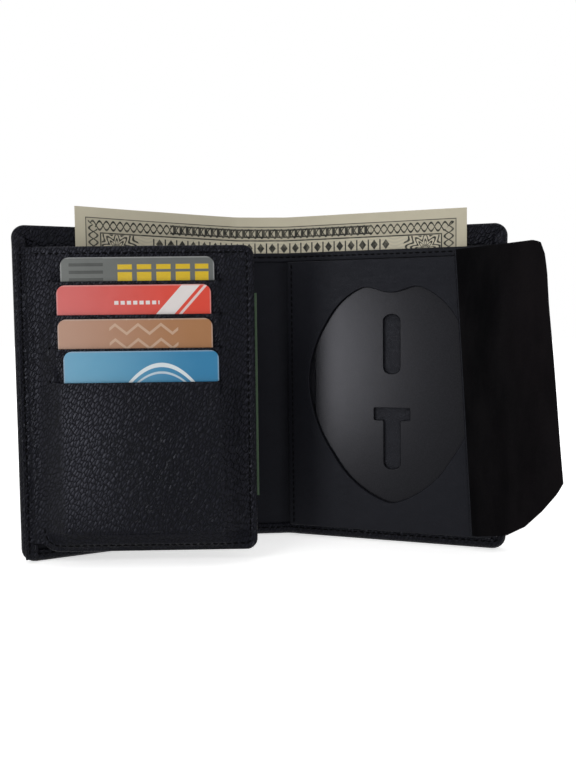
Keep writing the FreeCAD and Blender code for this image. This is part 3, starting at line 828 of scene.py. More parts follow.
def slotLoops(cut):
    axis, half, bar, low, top = (cut[k] for k in ("axis", "slotHalf", "barHalf", "barLow", "barTop"))
    r, stem = cut["barRound"], cut["stemRound"]

    def roundEnd(z, start):
        return arc(axis, z, half, start, start + 180, 12, cut["slotSquash"])

    upper = roundEnd(cut["slotLow"], 180) + roundEnd(cut["slotTop"], 0)
    right = [(half, low - stem), (half + stem, low), (bar - r, low), (bar, low + r), (bar, top - r),
             (bar - r, top)]
    lower = roundEnd(cut["stemLow"], 180) + [(axis + d, z) for d, z in right]
    return [upper, lower + [(axis - d, z) for d, z in reversed(right)]]


# flat shape with holes, its edges rounded over; lies on the right half at depth n
def cutPlate(name, loops, rear, front, edge, finish):
    data = polyCurve(name, "2D", [[(x, z, 0.0) for x, z in loop] for loop in loops], closed=True)
    data.fill_mode = "BOTH"
    data.extrude = (front - rear) / 2 - edge
    data.bevel_depth = edge
    data.bevel_resolution = 2
    data.offset = -edge
    flat = plainMesh(addObject(name, data))
    points = [onRight(v.co.x, v.co.z + (front + rear) / 2, v.co.y) for v in flat.vertices]
    faces = [tuple(p.vertices) for p in flat.polygons]
    bpy.data.meshes.remove(flat)
    facing = (onRight(40, 1, 50) - onRight(40, 0, 50)).normalized()
    return makePiece(name, points, faces, finish, flatAlong=facing)


def makeBadge(cut):
    outline, window, insert = (rectLoop(*cut[k]) for k in ("outline", "window", "insert"))
    seat, plate, apart = cut["seat"], cut["plate"], cut["apart"]
    face = cutPlate("badgeFace", [outline, shieldLoop(cut)], plate + apart, cut["face"], 0.35, smooth)
    spacer = cutPlate("badgeFrame", [outline, window], seat + apart, plate, 0.12, smooth)
    backing = cutPlate("badgeBacking", [outline], cut["back"] + apart, seat, 0.15, backed)
    card = cutPlate("badgeInsert", [insert] + slotLoops(cut), seat + 2 * apart, plate - apart, 0.22, board)
    for piece, node in ((face, "badge_face"), (spacer, "badge_frame"), (backing, "badge_back")):
        declare(piece, [node], "right_half")
    declare(card, ["badge_plate"], "right_half")


makeBadge(badgeCut)
print("badge holder cut")

# flap over the badge: outline points are height and reach
flapCut = dict(
    outline=((-53.2, 0.0), (-52.2, 13.4), (-48.3, 20.9), (-42.2, 27.7), (-35.7, 33.6), (-31.8, 36.1),
             (30.0, 34.2), (42.0, 34.2), (48.5, 33.6), (52.2, 32.3)),
    low=-53.1, top=53.1, rear=0.05, middle=0.55, front=0.95, apart=0.01, bead=0.5, wave=0.35, waveSink=1.35,
    waveFrom=(4.0, 16.0), rimAt=(0.0, 0.25, 0.6, 1.1, 2.1, 3.5), bends=(-48.3, -31.8, 51.4), edge=0.5,
    beadAt=(-0.5, -0.46, -0.35, -0.18, 0.0, 0.2, 0.4, 0.6, 0.8), suedeAt=(0.5, 0.62, 0.85), suedeTrim=0.15,
    shares=(0.04, 0.09, 0.16, 0.24, 0.33, 0.42, 0.51, 0.6, 0.69, 0.78, 0.86, 0.92, 0.96),
)


def flapReach(h, cut):
    marks = cut["outline"]
    for (h0, x0), (h1, x1) in zip(marks, marks[1:]):
        if h <= h1:
            return mix(x0, x1, (h - h0) / (h1 - h0))
    return marks[-1][1] - (h - marks[-1][0]) * 3.0


def flapWave(x, h, cut):
    swell = math.sin(h * 0.055 + 0.6) * math.sin(x * 0.09 + 0.3) + 0.5 * math.sin(h * 0.11 - x * 0.07)
    return cut["wave"] * (swell - cut["waveSink"]) * ease(x, *cut["waveFrom"])


# level gives the depth of a side from x and the gap to the nearest rim
def flapGrid(cut, lead, least, trim, edge, level):
    low, top, (foot, bend, head) = cut["low"], cut["top"], cut["bends"]
    heights = [low + d for d in cut["rimAt"]] + spread(foot, bend, 1.6) + spread(bend, head, 3.6)[1:]
    heights += [top - d for d in reversed(cut["rimAt"][:4])]
    grid = []
    for h in heights:
        reach = max(flapReach(h, cut), least) - trim
        inner = reach - cut["edge"]
        body = [mix(lead[-1], inner, t) for t in cut["shares"]]
        grid.append([flapPoint(x, level(x, min(reach - x, h - low, top - h)) + flapWave(x, h, cut), h)
                     for x in (*lead, *body, inner, reach - edge, reach)])
    return grid


def makeFlap(cut):
    r, rear, middle, front = cut["bead"], cut["rear"], cut["middle"], cut["front"]
    beadEnd, suedeStart, trim = cut["beadAt"][-1], cut["suedeAt"][0], cut["suedeTrim"]

    def bead(x):
        return math.sqrt(max(r * r - x * x, 0.0))

    def leatherFront(x, gap):
        if x < beadEnd:
            return max(bead(x), middle * ease(x, -0.3, beadEnd))
        return middle - rolled(gap, (middle - rear) / 2)

    def leatherBack(x, gap):
        if x < beadEnd:
            return min(-bead(x), mix(-r, rear, ease(x, 0.0, beadEnd)))
        return rear + rolled(gap, (middle - rear) / 2)

    def suedeDrop(x, gap):
        return rolled(min(gap, (x - suedeStart) * 0.9), (front - middle) / 2)

    def suedeFront(x, gap):
        return front - suedeDrop(x, gap)

    def suedeBack(x, gap):
        return middle + cut["apart"] + suedeDrop(x, gap)

    outer = [flapGrid(cut, cut["beadAt"], 2.0, 0.0, 0.18, level) for level in (leatherFront, leatherBack)]
    inner = [flapGrid(cut, cut["suedeAt"], 2.4, trim, trim, level) for level in (suedeFront, suedeBack)]
    leather = makePiece("flapLeather", *closedSheet(*outer), smooth)
    nap = makePiece("flapSuede", *closedSheet(*inner), suede)
    declare(leather, ["flap_leather"], "flap")
    declare(nap, ["flap_suede"], "flap")


# the flap's sewn root: along, depth, and which way the depth draws in at the ends
rootCut = dict(
    low=5.55, top=111.95, creaseLow=74.35, creaseTop=68.05, tight=0.22, ends=(0.0, 0.12, 0.4),
    roof=5.3, roofFrom=82.0, roofIn=1.2, floor=4.34, floorIn=2.0, floorTo=81.6,
    foot=((85.5, 1.36, 1), (85.5, 2.1, -1), (85.3, 2.28, -1), (84.2, 2.3, -1), (83.7, 2.42, 0),
          (83.45, 2.8, 0), (83.4, 4.6, 0), (83.2, 5.05, -1), (82.7, 5.28, -1)),
    lip=((0.85, 5.18, -1), (0.7, 4.85, 0), (0.85, 4.45, 1), (1.2, 4.34, 1)),
    heel=((82.0, 4.1, 0), (82.0, 2.4, 0), (82.0, 1.36, 1)),
)


def makeFlapRoot(cut):
    low, top, ends = cut["low"], cut["top"], cut["ends"]
    stations = []
    for z in [low + d for d in ends] + spread(low + 4, top - 4, 8.0) + [top - d for d in reversed(ends)]:
        crease = mix(cut["creaseLow"], cut["creaseTop"], (z - low) / (top - low))
        tight = cut["tight"] * (1 - ease(min(z - low, top - z), 0.0, ends[-1]))
        roof = [(mix(cut["roofFrom"], crease + cut["roofIn"], t / 3), cut["roof"], -1) for t in range(4)]
        lip = [(crease + s, n, draw) for s, n, draw in cut["lip"]]
        floor = [(mix(crease + cut["floorIn"], cut["floorTo"], t / 3), cut["floor"], 1) for t in range(1, 4)]
        loop = [*cut["foot"], *roof, *lip, *floor, *cut["heel"]]
        stations.append([onRight(s, n + draw * tight, z) for s, n, draw in loop])
    root = makePiece("flapRoot", *sweptLoop(stations), smooth)
    declare(root, ["flap_root"], "right_half")


makeFlap(flapCut)
makeFlapRoot(rootCut)
print("flap shaped")

# card leaf; p runs from its hinge, m towards the reader, rounds are its corners from the near foot on
leafCut = dict(
    near=1.1, far=79.8, low=4.1, top=113.4, rounds=(8.0, 4.0, 4.0, 1.6), rim=0.72, thick=0.8, apart=0.02,
    # net of points
    rimAt=(0.0, 0.12, 0.35, 0.75, 1.3, 1.8, 2.15, 2.5, 2.85, 3.2), gridIn=4.0, warp=30.0,
    nearAt=(5.2, 6.1, 7.0), farAt=(68.8, 70.0, 71.2, 72.4, 73.6, 74.8, 75.8),
    slitNear=(0.0, 0.45, 1.0, 1.6, 2.3), slitFar=(1.8, 1.1, 0.6, 0.28, 0.0), slitGrid=(3.2, 2.6),
    lipAt=(0.7, 1.1, 1.35, 1.6, 1.8, 2.05, 2.5, 3.2),
    # pocket mouths and their lips
    mouths=(101.3, 89.5, 77.7, 65.9), cardEnds=(44.6, 34.8, 22.9, 11.7), skin=0.7, slitFrom=8.0, slitTo=67.8,
    slitGape=0.45, gapeEnds=(2.0, 1.5), mouthEnds=(2.3, 0.55), lipBand=1.6, lipSwell=0.16, lipReach=4.0,
    lipCrease=0.22, lipTurn=((0.3, 0.16), (0.75, 0.14)),
    # sewn line
    stitchFrom=2.2, stitchIn=2.5, groove=0.20, grooveWide=0.42, backGroove=0.15, seamCorner=0.65,
    pucker=0.16, puffWide=1.3, puffRise=(10.0, 16.0), puffFrom=(3.0, 6.0),
    # how the cards lift the leather
    step=1.7, stepAbove=7.0, stepBelow=12.0, cardsFrom=13.0, cardsHigh=10.4, cardsBend=(66.0, 78.0),
    cardsTo=67.4, cardsLow=12.5, nearFoot=1.9, farFoot=77.0, lowFoot=4.9, dome=0.9, domeFrom=9.0,
    domeRise=(10.0, 30.0), domeFade=(40.0, 66.0), domeLoss=0.6, wave=0.10, waveIn=(3.5, 9.0),
)
# painted highlight that makes the leather paler: over the cards, at the lips and between stitches, along the
# near side and the top; the foot is made duller instead
paintedHighlightAndDullSet = dict(
    over=19.0, overWide=14.0, overRise=(8.0, 26.0), overFade=(52.0, 66.0), overLoss=0.35,
    overFrom=(6.0, 13.5), pockets=0.45, lip=0.5, sewn=0.9, nearSide=0.35, nearFade=(5.0, 12.0),
    nearRise=(8.0, 20.0), topSide=0.50, topRise=(100.0, 106.0), topFade=(60.0, 76.0), footIn=(2.7, 3.6),
    footFade=(11.0, 13.0),
)
stitchSet = dict(pitch=2.45, length=1.85, thread=0.30)


def leafRound(atFar, atTop, cut):
    return cut["rounds"][(2 if atFar else 3) if atTop else (1 if atFar else 0)]


def leafShift(z, atFar, cut):
    below, above = z - cut["low"], cut["top"] - z
    return rolled(min(below, above), leafRound(atFar, below >= above, cut))


def leafWarp(p, z, cut):
    return (p + leafShift(z, False, cut) * max(0.0, 1 - (p - cut["near"]) / cut["warp"])
            - leafShift(z, True, cut) * max(0.0, 1 - (cut["far"] - p) / cut["warp"]))


def leafGap(p, z, cut):
    atFar, atTop = p > (cut["near"] + cut["far"]) / 2, z > (cut["low"] + cut["top"]) / 2
    r = leafRound(atFar, atTop, cut)
    dx = cut["far"] - p if atFar else p - cut["near"]
    dz = cut["top"] - z if atTop else z - cut["low"]
    return r - math.hypot(r - dx, r - dz) if dx < r and dz < r else min(dx, dz)


# climbs evenly from a seam onto the cards, with soft ends
def ramp(value, low, high, soft=0.12):
    t = min(max((value - low) / (high - low), 0.0), 1.0)
    if t < soft:
        return t * t / (2 * soft) / (1 - soft)
    if t > 1 - soft:
        return 1 - (1 - t) ** 2 / (2 * soft) / (1 - soft)
    return (t - soft / 2) / (1 - soft)


# 1 along a pocket's mouth, dying away at its ends
def alongMouth(p, cut, start=2.0, end=2.0):
    low, high = cut["slitFrom"], cut["slitTo"]
    return ease(p, low, low + start) * (1 - ease(p, high - end, high))


# the sewn line's left, right, low and top
def seamBox(cut):
    inset = cut["stitchIn"]
    return cut["near"] + cut["stitchFrom"], cut["far"] - inset, cut["low"] + inset, cut["top"] - inset


# how far along the sewn line a place near the top or the far edge lies, in stitches
def seamTurn(p, z, cut):
    left, right, _, top = seamBox(cut)
    along = p - left if cut["top"] - z < cut["far"] - p else right - left + top - z - cut["seamCorner"]
    return along / stitchSet["pitch"]


def seamPuff(p, z, gap, cut):
    near = bell(gap - cut["stitchIn"], cut["puffWide"])
    near *= ease(z, *cut["puffRise"]) * ease(p, *cut["puffFrom"])
    return near * math.cos(2 * math.pi * (seamTurn(p, z, cut) + 0.5))


# painted highlight on the leaf, from 0 to 1, less the dulling at the foot
def leafPaintedHighlightAndDull(p, z, strip, cut, wearAndPaintedSheen):
    gap = leafGap(p, z, cut)
    over = bell(p - wearAndPaintedSheen["over"], wearAndPaintedSheen["overWide"]) * ease(z, *wearAndPaintedSheen["overRise"])
    over *= 1 - wearAndPaintedSheen["overLoss"] * ease(z, *wearAndPaintedSheen["overFade"])
    if strip < len(cut["mouths"]):
        over *= wearAndPaintedSheen["pockets"]
    lip = 0.0
    if strip and 0 <= cut["mouths"][strip - 1] - z < cut["lipBand"]:
        lip = wearAndPaintedSheen["lip"] * alongMouth(p, cut)
    sewn = wearAndPaintedSheen["sewn"] * max(seamPuff(p, z, gap, cut), 0.0)
    nearSide = wearAndPaintedSheen["nearSide"] * (1 - ease(p, *wearAndPaintedSheen["nearFade"])) * ease(z, *wearAndPaintedSheen["nearRise"])
    topSide = wearAndPaintedSheen["topSide"] * ease(z, *wearAndPaintedSheen["topRise"]) * (1 - ease(p, *wearAndPaintedSheen["topFade"]))
    foot = ease(gap, *wearAndPaintedSheen["footIn"]) * (1 - ease(z, *wearAndPaintedSheen["footFade"]))
    return min(max(over * ease(p, *wearAndPaintedSheen["overFrom"]), lip, sewn, nearSide, topSide), 1.0) - foot


# how high the cards lift the leather; strip counts the mouths above
def leafRise(p, z, strip, cut):
    mouths, step = cut["mouths"], cut["step"]
    marks = [(mouths[0] + cut["stepAbove"], 0.0)] + [(m, step * (k + 0.5)) for k, m in enumerate(mouths)]
    marks.append((mouths[-1] - cut["stepBelow"], step * len(mouths)))
    edgeStep = 0.0 if z > marks[0][0] else marks[-1][1]
    for (z0, a), (z1, b) in zip(marks, marks[1:]):
        if z1 <= z <= z0:
            edgeStep = mix(a, b, (z0 - z) / (z0 - z1))
    start = mix(cut["cardsFrom"], cut["cardsHigh"], ease(z, *cut["cardsBend"]))
    side = ramp(p, cut["nearFoot"], start) * ramp(-p, -cut["farFoot"], -cut["cardsTo"])
    swell = 0.0
    if strip == len(mouths):
        share = min(max((p - cut["domeFrom"]) / (cut["cardsTo"] - cut["domeFrom"]), 0.0), 1.0)
        swell = cut["dome"] * math.sin(math.pi * share) * ease(z, *cut["domeRise"])
        swell *= 1 - cut["domeLoss"] * ease(z, *cut["domeFade"])
    lift = mix(edgeStep, step * strip, alongMouth(p, cut, *cut["mouthEnds"]))
    return side * ramp(z, cut["lowFoot"], cut["cardsLow"]) * lift + swell


def leafHeight(p, z, strip, cut):
    gap = leafGap(p, z, cut)
    m = cut["thick"] + leafRise(p, z, strip, cut) - rolled(gap, cut["rim"])
    m -= cut["groove"] * bell(gap - cut["stitchIn"], cut["grooveWide"])
    m += cut["pucker"] * seamPuff(p, z, gap, cut)
    m += cut["wave"] * math.sin(p * 0.23 + 0.8) * math.sin(z * 0.19 + 0.4) * ease(gap, *cut["waveIn"])
    under, band = cut["mouths"][strip - 1] - z, cut["lipBand"]
    if strip and 0 <= under < cut["lipReach"]:
        lip = 1 - ease(under, band - 0.1, band + 0.5) - bell(under - band, cut["lipCrease"])
        m += alongMouth(p, cut) * cut["lipSwell"] * lip
    return m


def leafStrip(z, cut):
    return sum(1 for mouth in cut["mouths"] if z < mouth - 1e-6)


def leafRows(cut, step):
    rows = [cut["top"] - d for d in (*cut["rimAt"], cut["gridIn"])]
    for mouth in cut["mouths"]:
        rows += spread(rows[-1], mouth + 0.4, step)[1:] + [mouth] + [mouth - d for d in cut["lipAt"]]
    rows += spread(rows[-1], cut["low"] + cut["gridIn"], step)[1:]
    return rows + [cut["low"] + d for d in reversed(cut["rimAt"])]


def leafColumns(cut, step):
    low, high, (first, last) = cut["slitFrom"], cut["slitTo"], cut["slitGrid"]
    nearRim = [cut["near"] + d for d in cut["rimAt"]]
    farRim = [cut["far"] - d for d in reversed(cut["rimAt"])]
    nearSide = [*nearRim, *cut["nearAt"]] + [low + d for d in cut["slitNear"]]
    farSide = [high - d for d in cut["slitFar"]] + [*cut["farAt"], *farRim]
    return nearSide + spread(low + first, high - last, step) + farSide


def makeLeafFace(cut):
    rows, columns = leafRows(cut, 0.9), leafColumns(cut, 0.8)
    inSlit = [cut["slitFrom"] < p < cut["slitTo"] for p in columns]
    points, paintedHighlightAndDullMarks, faces, above, below = [], [], [], [], []

    def add(p, m, z, paintedHighlightAndDull=0.0):
        points.append(leafPoint(p, m, z))
        paintedHighlightAndDullMarks.append(paintedHighlightAndDull)
        return len(points) - 1

    def addTop(p, z, strip, drop=0.0):
        return add(p, leafHeight(p, z, strip, cut), z - drop, leafPaintedHighlightAndDull(p, z, strip, cut, paintedHighlightAndDullSet))

    def gape(p):
        return cut["slitGape"] * alongMouth(p, cut, *cut["gapeEnds"])

    for z in rows:
        strip = leafStrip(z, cut)
        upper, lower = [], []
        for p, opens in zip(columns, inSlit):
            q = leafWarp(p, z, cut)
            upper.append(addTop(q, z, strip))
            lower.append(addTop(q, z, strip + 1, gape(q)) if opens and z in cut["mouths"] else upper[-1])
        above.append(upper)
        below.append(lower)
    back = [[add(leafWarp(p, z, cut), cut["apart"], z) for p in columns] for z in rows]
    for r in range(len(rows) - 1):
        faces += bandFaces(below[r], above[r + 1]) + bandFaces(back[r], back[r + 1], flip=True)
    for end, flip in ((0, False), (-1, True)):
        faces += bandFaces(above[end], back[end], flip)
        faces += bandFaces([row[end] for row in above], [row[end] for row in back], not flip)
    # each mouth opens into a card pocket
    for k, mouth in enumerate(cut["mouths"]):
        r = rows.index(mouth)
        loops = [None] * len(columns)
        for c, p in enumerate(columns):
            if inSlit[c]:
                high, low = leafHeight(p, mouth, k + 1, cut), leafHeight(p, mouth, k, cut)
                inner = max(high - cut["skin"], low + 0.03)
                lip, end = mouth - gape(p), cut["cardEnds"][k]
                turned = [add(p, mix(high, inner, t), lip + d) for t, d in cut["lipTurn"]]
                inside = ((inner, lip - 0.1), (inner, end), (low, end), (low, mouth - 0.08))
                loops[c] = [below[r][c], *turned, *(add(p, m, z, -1.0) for m, z in inside), above[r][c]]
        for c, (a, b) in enumerate(zip(loops, loops[1:])):
            if a and b:
                faces += bandFaces(a, b)
            elif a or b:
                tip, ring = (above[r][c + 1], a) if a else (above[r][c], b)
                faces += [(tip, i, j) for i, j in zip(ring, ring[1:])]
    return makePiece("leafFace", points, faces, pebbled, sharp=50.0, paintedHighlightAndDull=paintedHighlightAndDullMarks)


def makeLeafBack(cut):
    rows, columns = leafRows(cut, 3.0), leafColumns(cut, 3.0)

    def depth(p, z):
        gap = leafGap(p, z, cut)
        groove = cut["backGroove"] * bell(gap - cut["stitchIn"], cut["grooveWide"])
        return -cut["thick"] + groove + rolled(gap, cut["rim"])

    places = [[(leafWarp(p, z, cut), z) for p in columns] for z in rows]
    front = [[leafPoint(p, -cut["apart"], z) for p, z in row] for row in places]
    back = [[leafPoint(p, depth(p, z), z) for p, z in row] for row in places]
    return makePiece("leafBack", *closedSheet(front, back), pebbled, sharp=50.0)


pockets = [f"card_pocket_{k}" for k in range(1, 5)]
declare(makeLeafFace(leafCut), ["leaf_face", *pockets], "card_leaf")
declare(makeLeafBack(leafCut), ["leaf_back"], "card_leaf")

# the rolled hinge and its sewn strip: along and depth on the left half, or p and m on the leaf
hingeCut = dict(
    low=7.4, top=113.2, foot=1.2, rest=1.36, start=(83.3, 2.2), end=(1.4, 0.0), shoulder=(-0.55, 0.62),
    bendAt=(0.0, 0.8, 1.8, 3.2), gridFrom=4.8, tailAt=(1.6, 2.2, 3.2, 5.5), tailLap=0.5, tailRise=(-0.6, 2.0),
    sewn=((85.5, 1.36), (85.5, 1.75), (85.3, 1.98), (84.3, 2.04), (83.5, 2.25), (82.95, 2.7)),
    roll=((0.1, 0.86), (0.9, 0.84), (1.9, 0.74), (1.9, 0.1), (1.9, -0.6), (0.9, -0.86), (0.1, -0.82)),
    under=((81.9, 2.05), (81.2, 1.98), (80.6, 1.9), (80.5, 1.6), (80.5, 1.36)),
    tail=((85.45, 1.36), (85.45, 1.7), (85.25, 1.95), (84.2, 2.02), (82.6, 2.02), (81.2, 1.95), (81.0, 1.7),
          (81.0, 1.36)),
)


def makeHinge(cut):
    def loop(z):
        d = leafShift(z, False, leafCut)
        out, depth = cut["shoulder"]
        roll = [leafPoint(d * 0.5 + out, depth, z)] + [leafPoint(d + p, m, z) for p, m in cut["roll"]]
        return [onLeft(s, n, z) for s, n in cut["sewn"]] + roll + [onLeft(s, n, z) for s, n in cut["under"]]

    def tail(z):
        lift = ease(z, *(cut["foot"] + d for d in cut["tailRise"]))
        return [onLeft(s, mix(cut["rest"], n, lift), z) for s, n in cut["tail"]]

    low, top = cut["low"], cut["top"]
    heights = [low + d for d in cut["bendAt"]] + spread(low + cut["gridFrom"], top - 0.4, 9.0) + [top]
    points, faces = sweptLoop([loop(z) for z in heights])
    tailHeights = (cut["foot"], *cut["tailAt"], low + cut["tailLap"])
    tailPoints, tailFaces = sweptLoop([tail(z) for z in tailHeights])
    faces += [tuple(i + len(points) for i in face) for face in tailFaces]
    strip = makePiece("leafHinge", points + tailPoints, faces, pebbled)
    declare(strip, ["leaf_strip", "leaf_hinge"])
    onLeft(*cut["start"], wallet["midHeight"])
    leafPoint(*cut["end"], wallet["midHeight"])
    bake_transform(strip)


makeHinge(hingeCut)

for name, look in cards.items():
    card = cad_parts[f"card_{look['number']}"]
    card.data.materials.clear()
    card.data.materials.append(cardPlastic(name, look, cardSet))
print("card leaf sewn")

# clear sleeve on the leaf's back, with its slip
sleeveCut = dict(
    left=15.0, right=79.0, low=18.0, top=102.0, weld=3.2, outer=-1.68, inner=-1.32, weldOuter=-0.95,
    weldInner=-0.82, weldAt=(0, 0.3, 1.2, 2.4, 3.2, 4.2), weldRise=(-1.2, 0.6), gridAcross=7.0, gridUp=8.0,
)
slipCut = dict(left=20.6, right=80.6, low=23.6, top=96.4, front=-0.92, back=-1.16)


def makeSleeve(cut):
    left, right, low, top, weld = (cut[k] for k in ("left", "right", "low", "top", "weld"))
    columns = [left + d for d in cut["weldAt"]] + spread(left + cut["gridAcross"], right - 0.4, 4.0) + [right]
    rows = [low + d for d in cut["weldAt"]] + spread(low + cut["gridUp"], top - cut["gridUp"], 5.0)
    rows += [top - d for d in reversed(cut["weldAt"])]

    def depth(p, z, free, welded):
        lift = ease(min(p - left, z - low, top - z), *(weld + d for d in cut["weldRise"]))
        return mix(welded, free, lift)

    inner, outer = ([[leafPoint(p, depth(p, z, cut[way], cut["weld" + way.capitalize()]), z) for p in columns]
                     for z in rows] for way in ("inner", "outer"))
    return makePiece("idSleeve", *closedSheet(inner, outer), film)


def makeSlip(cut):
    columns, rows = spread(cut["left"], cut["right"], 6.0), spread(cut["low"], cut["top"], 6.0)
    front, back = ([[leafPoint(p, cut[way], z) for p in columns] for z in rows] for way in ("front", "back"))
    slip = makePiece("idSlip", *closedSheet(front, back), slipSheet)
    return slip


declare(makeSleeve(sleeveCut), ["id_sleeve"], "card_leaf")
declare(makeSlip(slipCut), ["id_slip"], "id_slip")
print("sleeve and slip in")


# sewing: beads of thread at even steps along a path
def stitchTree():
    tree = bpy.data.node_groups.new("stitchRun", "GeometryNodeTree")
    for name, kind in (("Geometry", "Geometry"), ("Pitch", "Float"), ("Length", "Float"), ("Thread", "Float"),
                       ("Finish", "Material")):
        tree.interface.new_socket(name, in_out="INPUT", socket_type="NodeSocket" + kind)
    tree.interface.new_socket("Geometry", in_out="OUTPUT", socket_type="NodeSocketGeometry")
    t = Tree(tree)
    given = t.node("NodeGroupInput").outputs
    path = {"Curve": given["Geometry"], "Length": given["Pitch"]}
    spaced = t.node("GeometryNodeCurveToPoints", path, mode="LENGTH").outputs
    bead = t.node("GeometryNodeMeshUVSphere", {"Segments": 7, "Rings": 5, "Radius": 1.0}).outputs["Mesh"]
    size = {"X": given["Thread"], "Y": given["Thread"], "Z": t.reckon("MULTIPLY", given["Length"], 0.5)}
    long = {"Geometry": bead, "Scale": t.node("ShaderNodeCombineXYZ", size).outputs[0]}
    shaped = t.node("GeometryNodeTransform", long).outputs["Geometry"]
    row = {"Points": spaced["Points"], "Instance": shaped, "Rotation": spaced["Rotation"]}
    placed = t.node("GeometryNodeInstanceOnPoints", row).outputs["Instances"]
    real = t.node("GeometryNodeRealizeInstances", {"Geometry": placed}).outputs["Geometry"]
    coated = t.node("GeometryNodeSetMaterial", {"Geometry": real, "Material": given["Finish"]})
    t.node("NodeGroupOutput", {"Geometry": coated.outputs["Geometry"]})
    return tree


stitching = stitchTree()


def sewRun(name, paths, values):
    holder = addObject(name + "Path", polyCurve(name, "3D", paths))
    sewn = holder.modifiers.new("stitches", "NODES")
    sewn.node_group = stitching
    sockets = {s.name: s.identifier for s in stitching.interface.items_tree if s.in_out == "INPUT"}
    for key in ("pitch", "length", "thread"):
        sewn[sockets[key.capitalize()]] = values[key] * mm
    sewn[sockets["Finish"]] = thread
    holder.update_tag()
    mesh = plainMesh(holder)
    mesh.name = name
    for polygon in mesh.polygons:
        polygon.use_smooth = True
    return addObject(name, mesh)


def finePath(corners, step=0.8):
    path = []
    for a, b in zip(corners, corners[1:]):
        count = max(1, math.ceil(math.dist(a, b) / step))
        path += [tuple(mix(p, q, i / count) for p, q in zip(a, b)) for i in range(count)]
    return path + [corners[-1]]


def leafStitchPath(cut, turn=1.5):
    left, right, low, top = seamBox(cut)
    r = cut["rounds"][0]
    return finePath([(left, top)] + arc(right - turn, top - turn, turn, 90, 0, 6)
                    + arc(right - turn, low + turn, turn, 0, -90, 6)
                    + arc(cut["near"] + r, cut["low"] + r, r - cut["stitchIn"], 270, 180, 9))


# where each line of stitches runs: along, and up
sewSet = dict(
    badge=((3.4, 6.6), (3.4, 107.6)), badgeLift=0.06, leafLift=0.1, hem=(0.6, 92.6), hemDepth=0.86,
    borderDepth=1.36, borderLeft=((0.6, 2.9), (90.6, 2.9)),
    borderRight=((0.6, 2.9), (92.2, 2.9), (93.2, 3.9), (93.2, 112.0)),
    hinge=(4.2, 112.6), hingeAt=(84.2, 2.1), stopOut=0.2, stopHalf=0.1,
)
stopSet = dict(pitch=5.0, length=0.85, thread=0.42)


def sewAll(sew):
    def leafLift(p, z):
        return leafHeight(p, z, leafStrip(z, leafCut), leafCut) + sew["leafLift"]

    path = [leafPoint(p, leafLift(p, z), z) for p, z in leafStitchPath(leafCut)]
    declare(sewRun("leafStitch", [path], stitchSet), body="card_leaf")
    path = [onRight(s, badgeCut["face"] + sew["badgeLift"], z) for s, z in finePath(sew["badge"])]
    declare(sewRun("badgeStitch", [path], stitchSet), body="right_half")
    for word, side, body, _ in sides:
        hem = [(u, dividerCut["hemSewn"]) for u in sew["hem"]]
        for name, corners, depth in (("hemStitch", hem, sew["hemDepth"]),
                                     ("borderStitch", sew["border" + word], sew["borderDepth"])):
            path = [coverPoint(side, u, depth, z) for u, z in finePath(corners)]
            run = declare(sewRun(name + word, [path], stitchSet))
            foldBlend(run, side, "spine", body)
    path = [onLeft(*sew["hingeAt"], z) for z in spread(*sew["hinge"], 0.8)]
    declare(sewRun("hingeStitch", [path], stitchSet), body="left_half")
    stops = []
    for k, mouth in enumerate(leafCut["mouths"]):
        for p in (leafCut["slitFrom"] - sew["stopOut"], leafCut["slitTo"] + sew["stopOut"]):
            m = leafHeight(p, mouth, k + 1, leafCut)
            stops.append([leafPoint(p + d, m, mouth) for d in (-sew["stopHalf"], sew["stopHalf"])])
    declare(sewRun("slitStops", stops, stopSet), body="card_leaf")


sewAll(sewSet)
print("stitches sewn")

# floor, light and backdrop; the strip lamp shows in glossy surfaces alone
studio = dict(world=0.50, floor=3.0, floorColour=(0.9, 0.9, 0.9, 1.0), floorLift=0.6, floorFrom=0.08,
              floorTo=0.35)
white = (1, 1, 1, 1)
lamps = dict(
    keyLamp=dict(place=(-0.55, -0.60, 0.75), target=(0, 0, 0.06), size=(0.5, 0.5), power=2.2),
    fillLamp=dict(place=(0.65, -0.75, 0.45), target=(0, 0, 0.06), size=(0.6, 0.6), power=0.7),
    stripLamp=dict(place=(-0.205, -0.255, 0.045), target=(0.03, -0.015, 0.05), size=(0.072, 0.15), power=0.64,
                   lights=False),
    topLamp=dict(place=(0.0, 0.1, 1.0), target=(0, 0, 0), size=(0.8, 0.6), power=1.6),
)


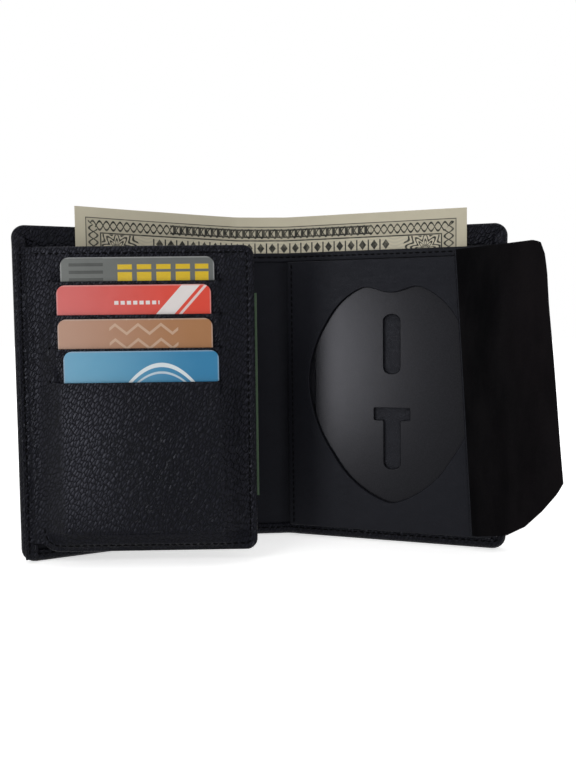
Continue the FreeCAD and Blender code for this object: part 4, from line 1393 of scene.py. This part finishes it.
def makeFloor(values):
    half = values["floor"]
    mesh = bpy.data.meshes.new("floor")
    corners = [(-half, -half, 0), (half, -half, 0), (half, half, 0), (-half, half, 0)]
    mesh.from_pydata(corners, [], [(0, 1, 2, 3)])
    f = Finish("paleFloor", colour=values["floorColour"], rough=0.9, gloss=0.0)
    rays = f.node("ShaderNodeLightPath").outputs
    far = Field(f, f.node("ShaderNodeVectorMath", {0: f.places}, operation="LENGTH").outputs["Value"])
    lift = far.remap(values["floorFrom"], values["floorTo"], values["floorLift"], 1.0) * rays["Is Camera Ray"]
    glow, glare = (f.node("ShaderNodeEmission", {"Color": white, "Strength": level}).outputs[0]
                   for level in (lift, 1.0))
    lifted = f.node("ShaderNodeAddShader", {0: f.shader.outputs[0], 1: glow}).outputs[0]
    mirrored = Field(f, rays["Is Glossy Ray"]) | rays["Is Transmission Ray"]
    mixed = f.node("ShaderNodeMixShader", {0: mirrored, 1: lifted, 2: glare}).outputs[0]
    f.feed(f.tree.nodes["Material Output"].inputs["Surface"], mixed)
    mesh.materials.append(f.material)
    addObject("floor", mesh)


def makeWorld(values):
    world = bpy.data.worlds.new("studio")
    world.use_nodes = True
    scene.world = world
    t = Tree(world.node_tree)
    rays = t.node("ShaderNodeLightPath").outputs
    seen = Field(t, rays["Is Camera Ray"]) | rays["Is Glossy Ray"] | rays["Is Transmission Ray"]
    backdrop = t.tree.nodes["Background"].inputs
    t.feed(backdrop["Strength"], seen.remap(0.0, 1.0, values["world"], 1.0, "LINEAR"))
    t.feed(backdrop["Color"], white)


def addLamp(name, place, target, size, power, lights=True):
    data = bpy.data.lights.new(name, "AREA")
    data.shape = "RECTANGLE"
    data.size, data.size_y = size
    data.energy = power
    lamp = addObject(name, data)
    lamp.location = place
    lamp.visible_diffuse = lights
    lamp.rotation_mode = "QUATERNION"
    lamp.rotation_quaternion = (Vector(target) - Vector(place)).to_track_quat("-Z", "Y")


makeFloor(studio)
makeWorld(studio)
for name, lamp in lamps.items():
    addLamp(name, **lamp)
scene.view_settings.view_transform = "Standard"
print("studio lit")
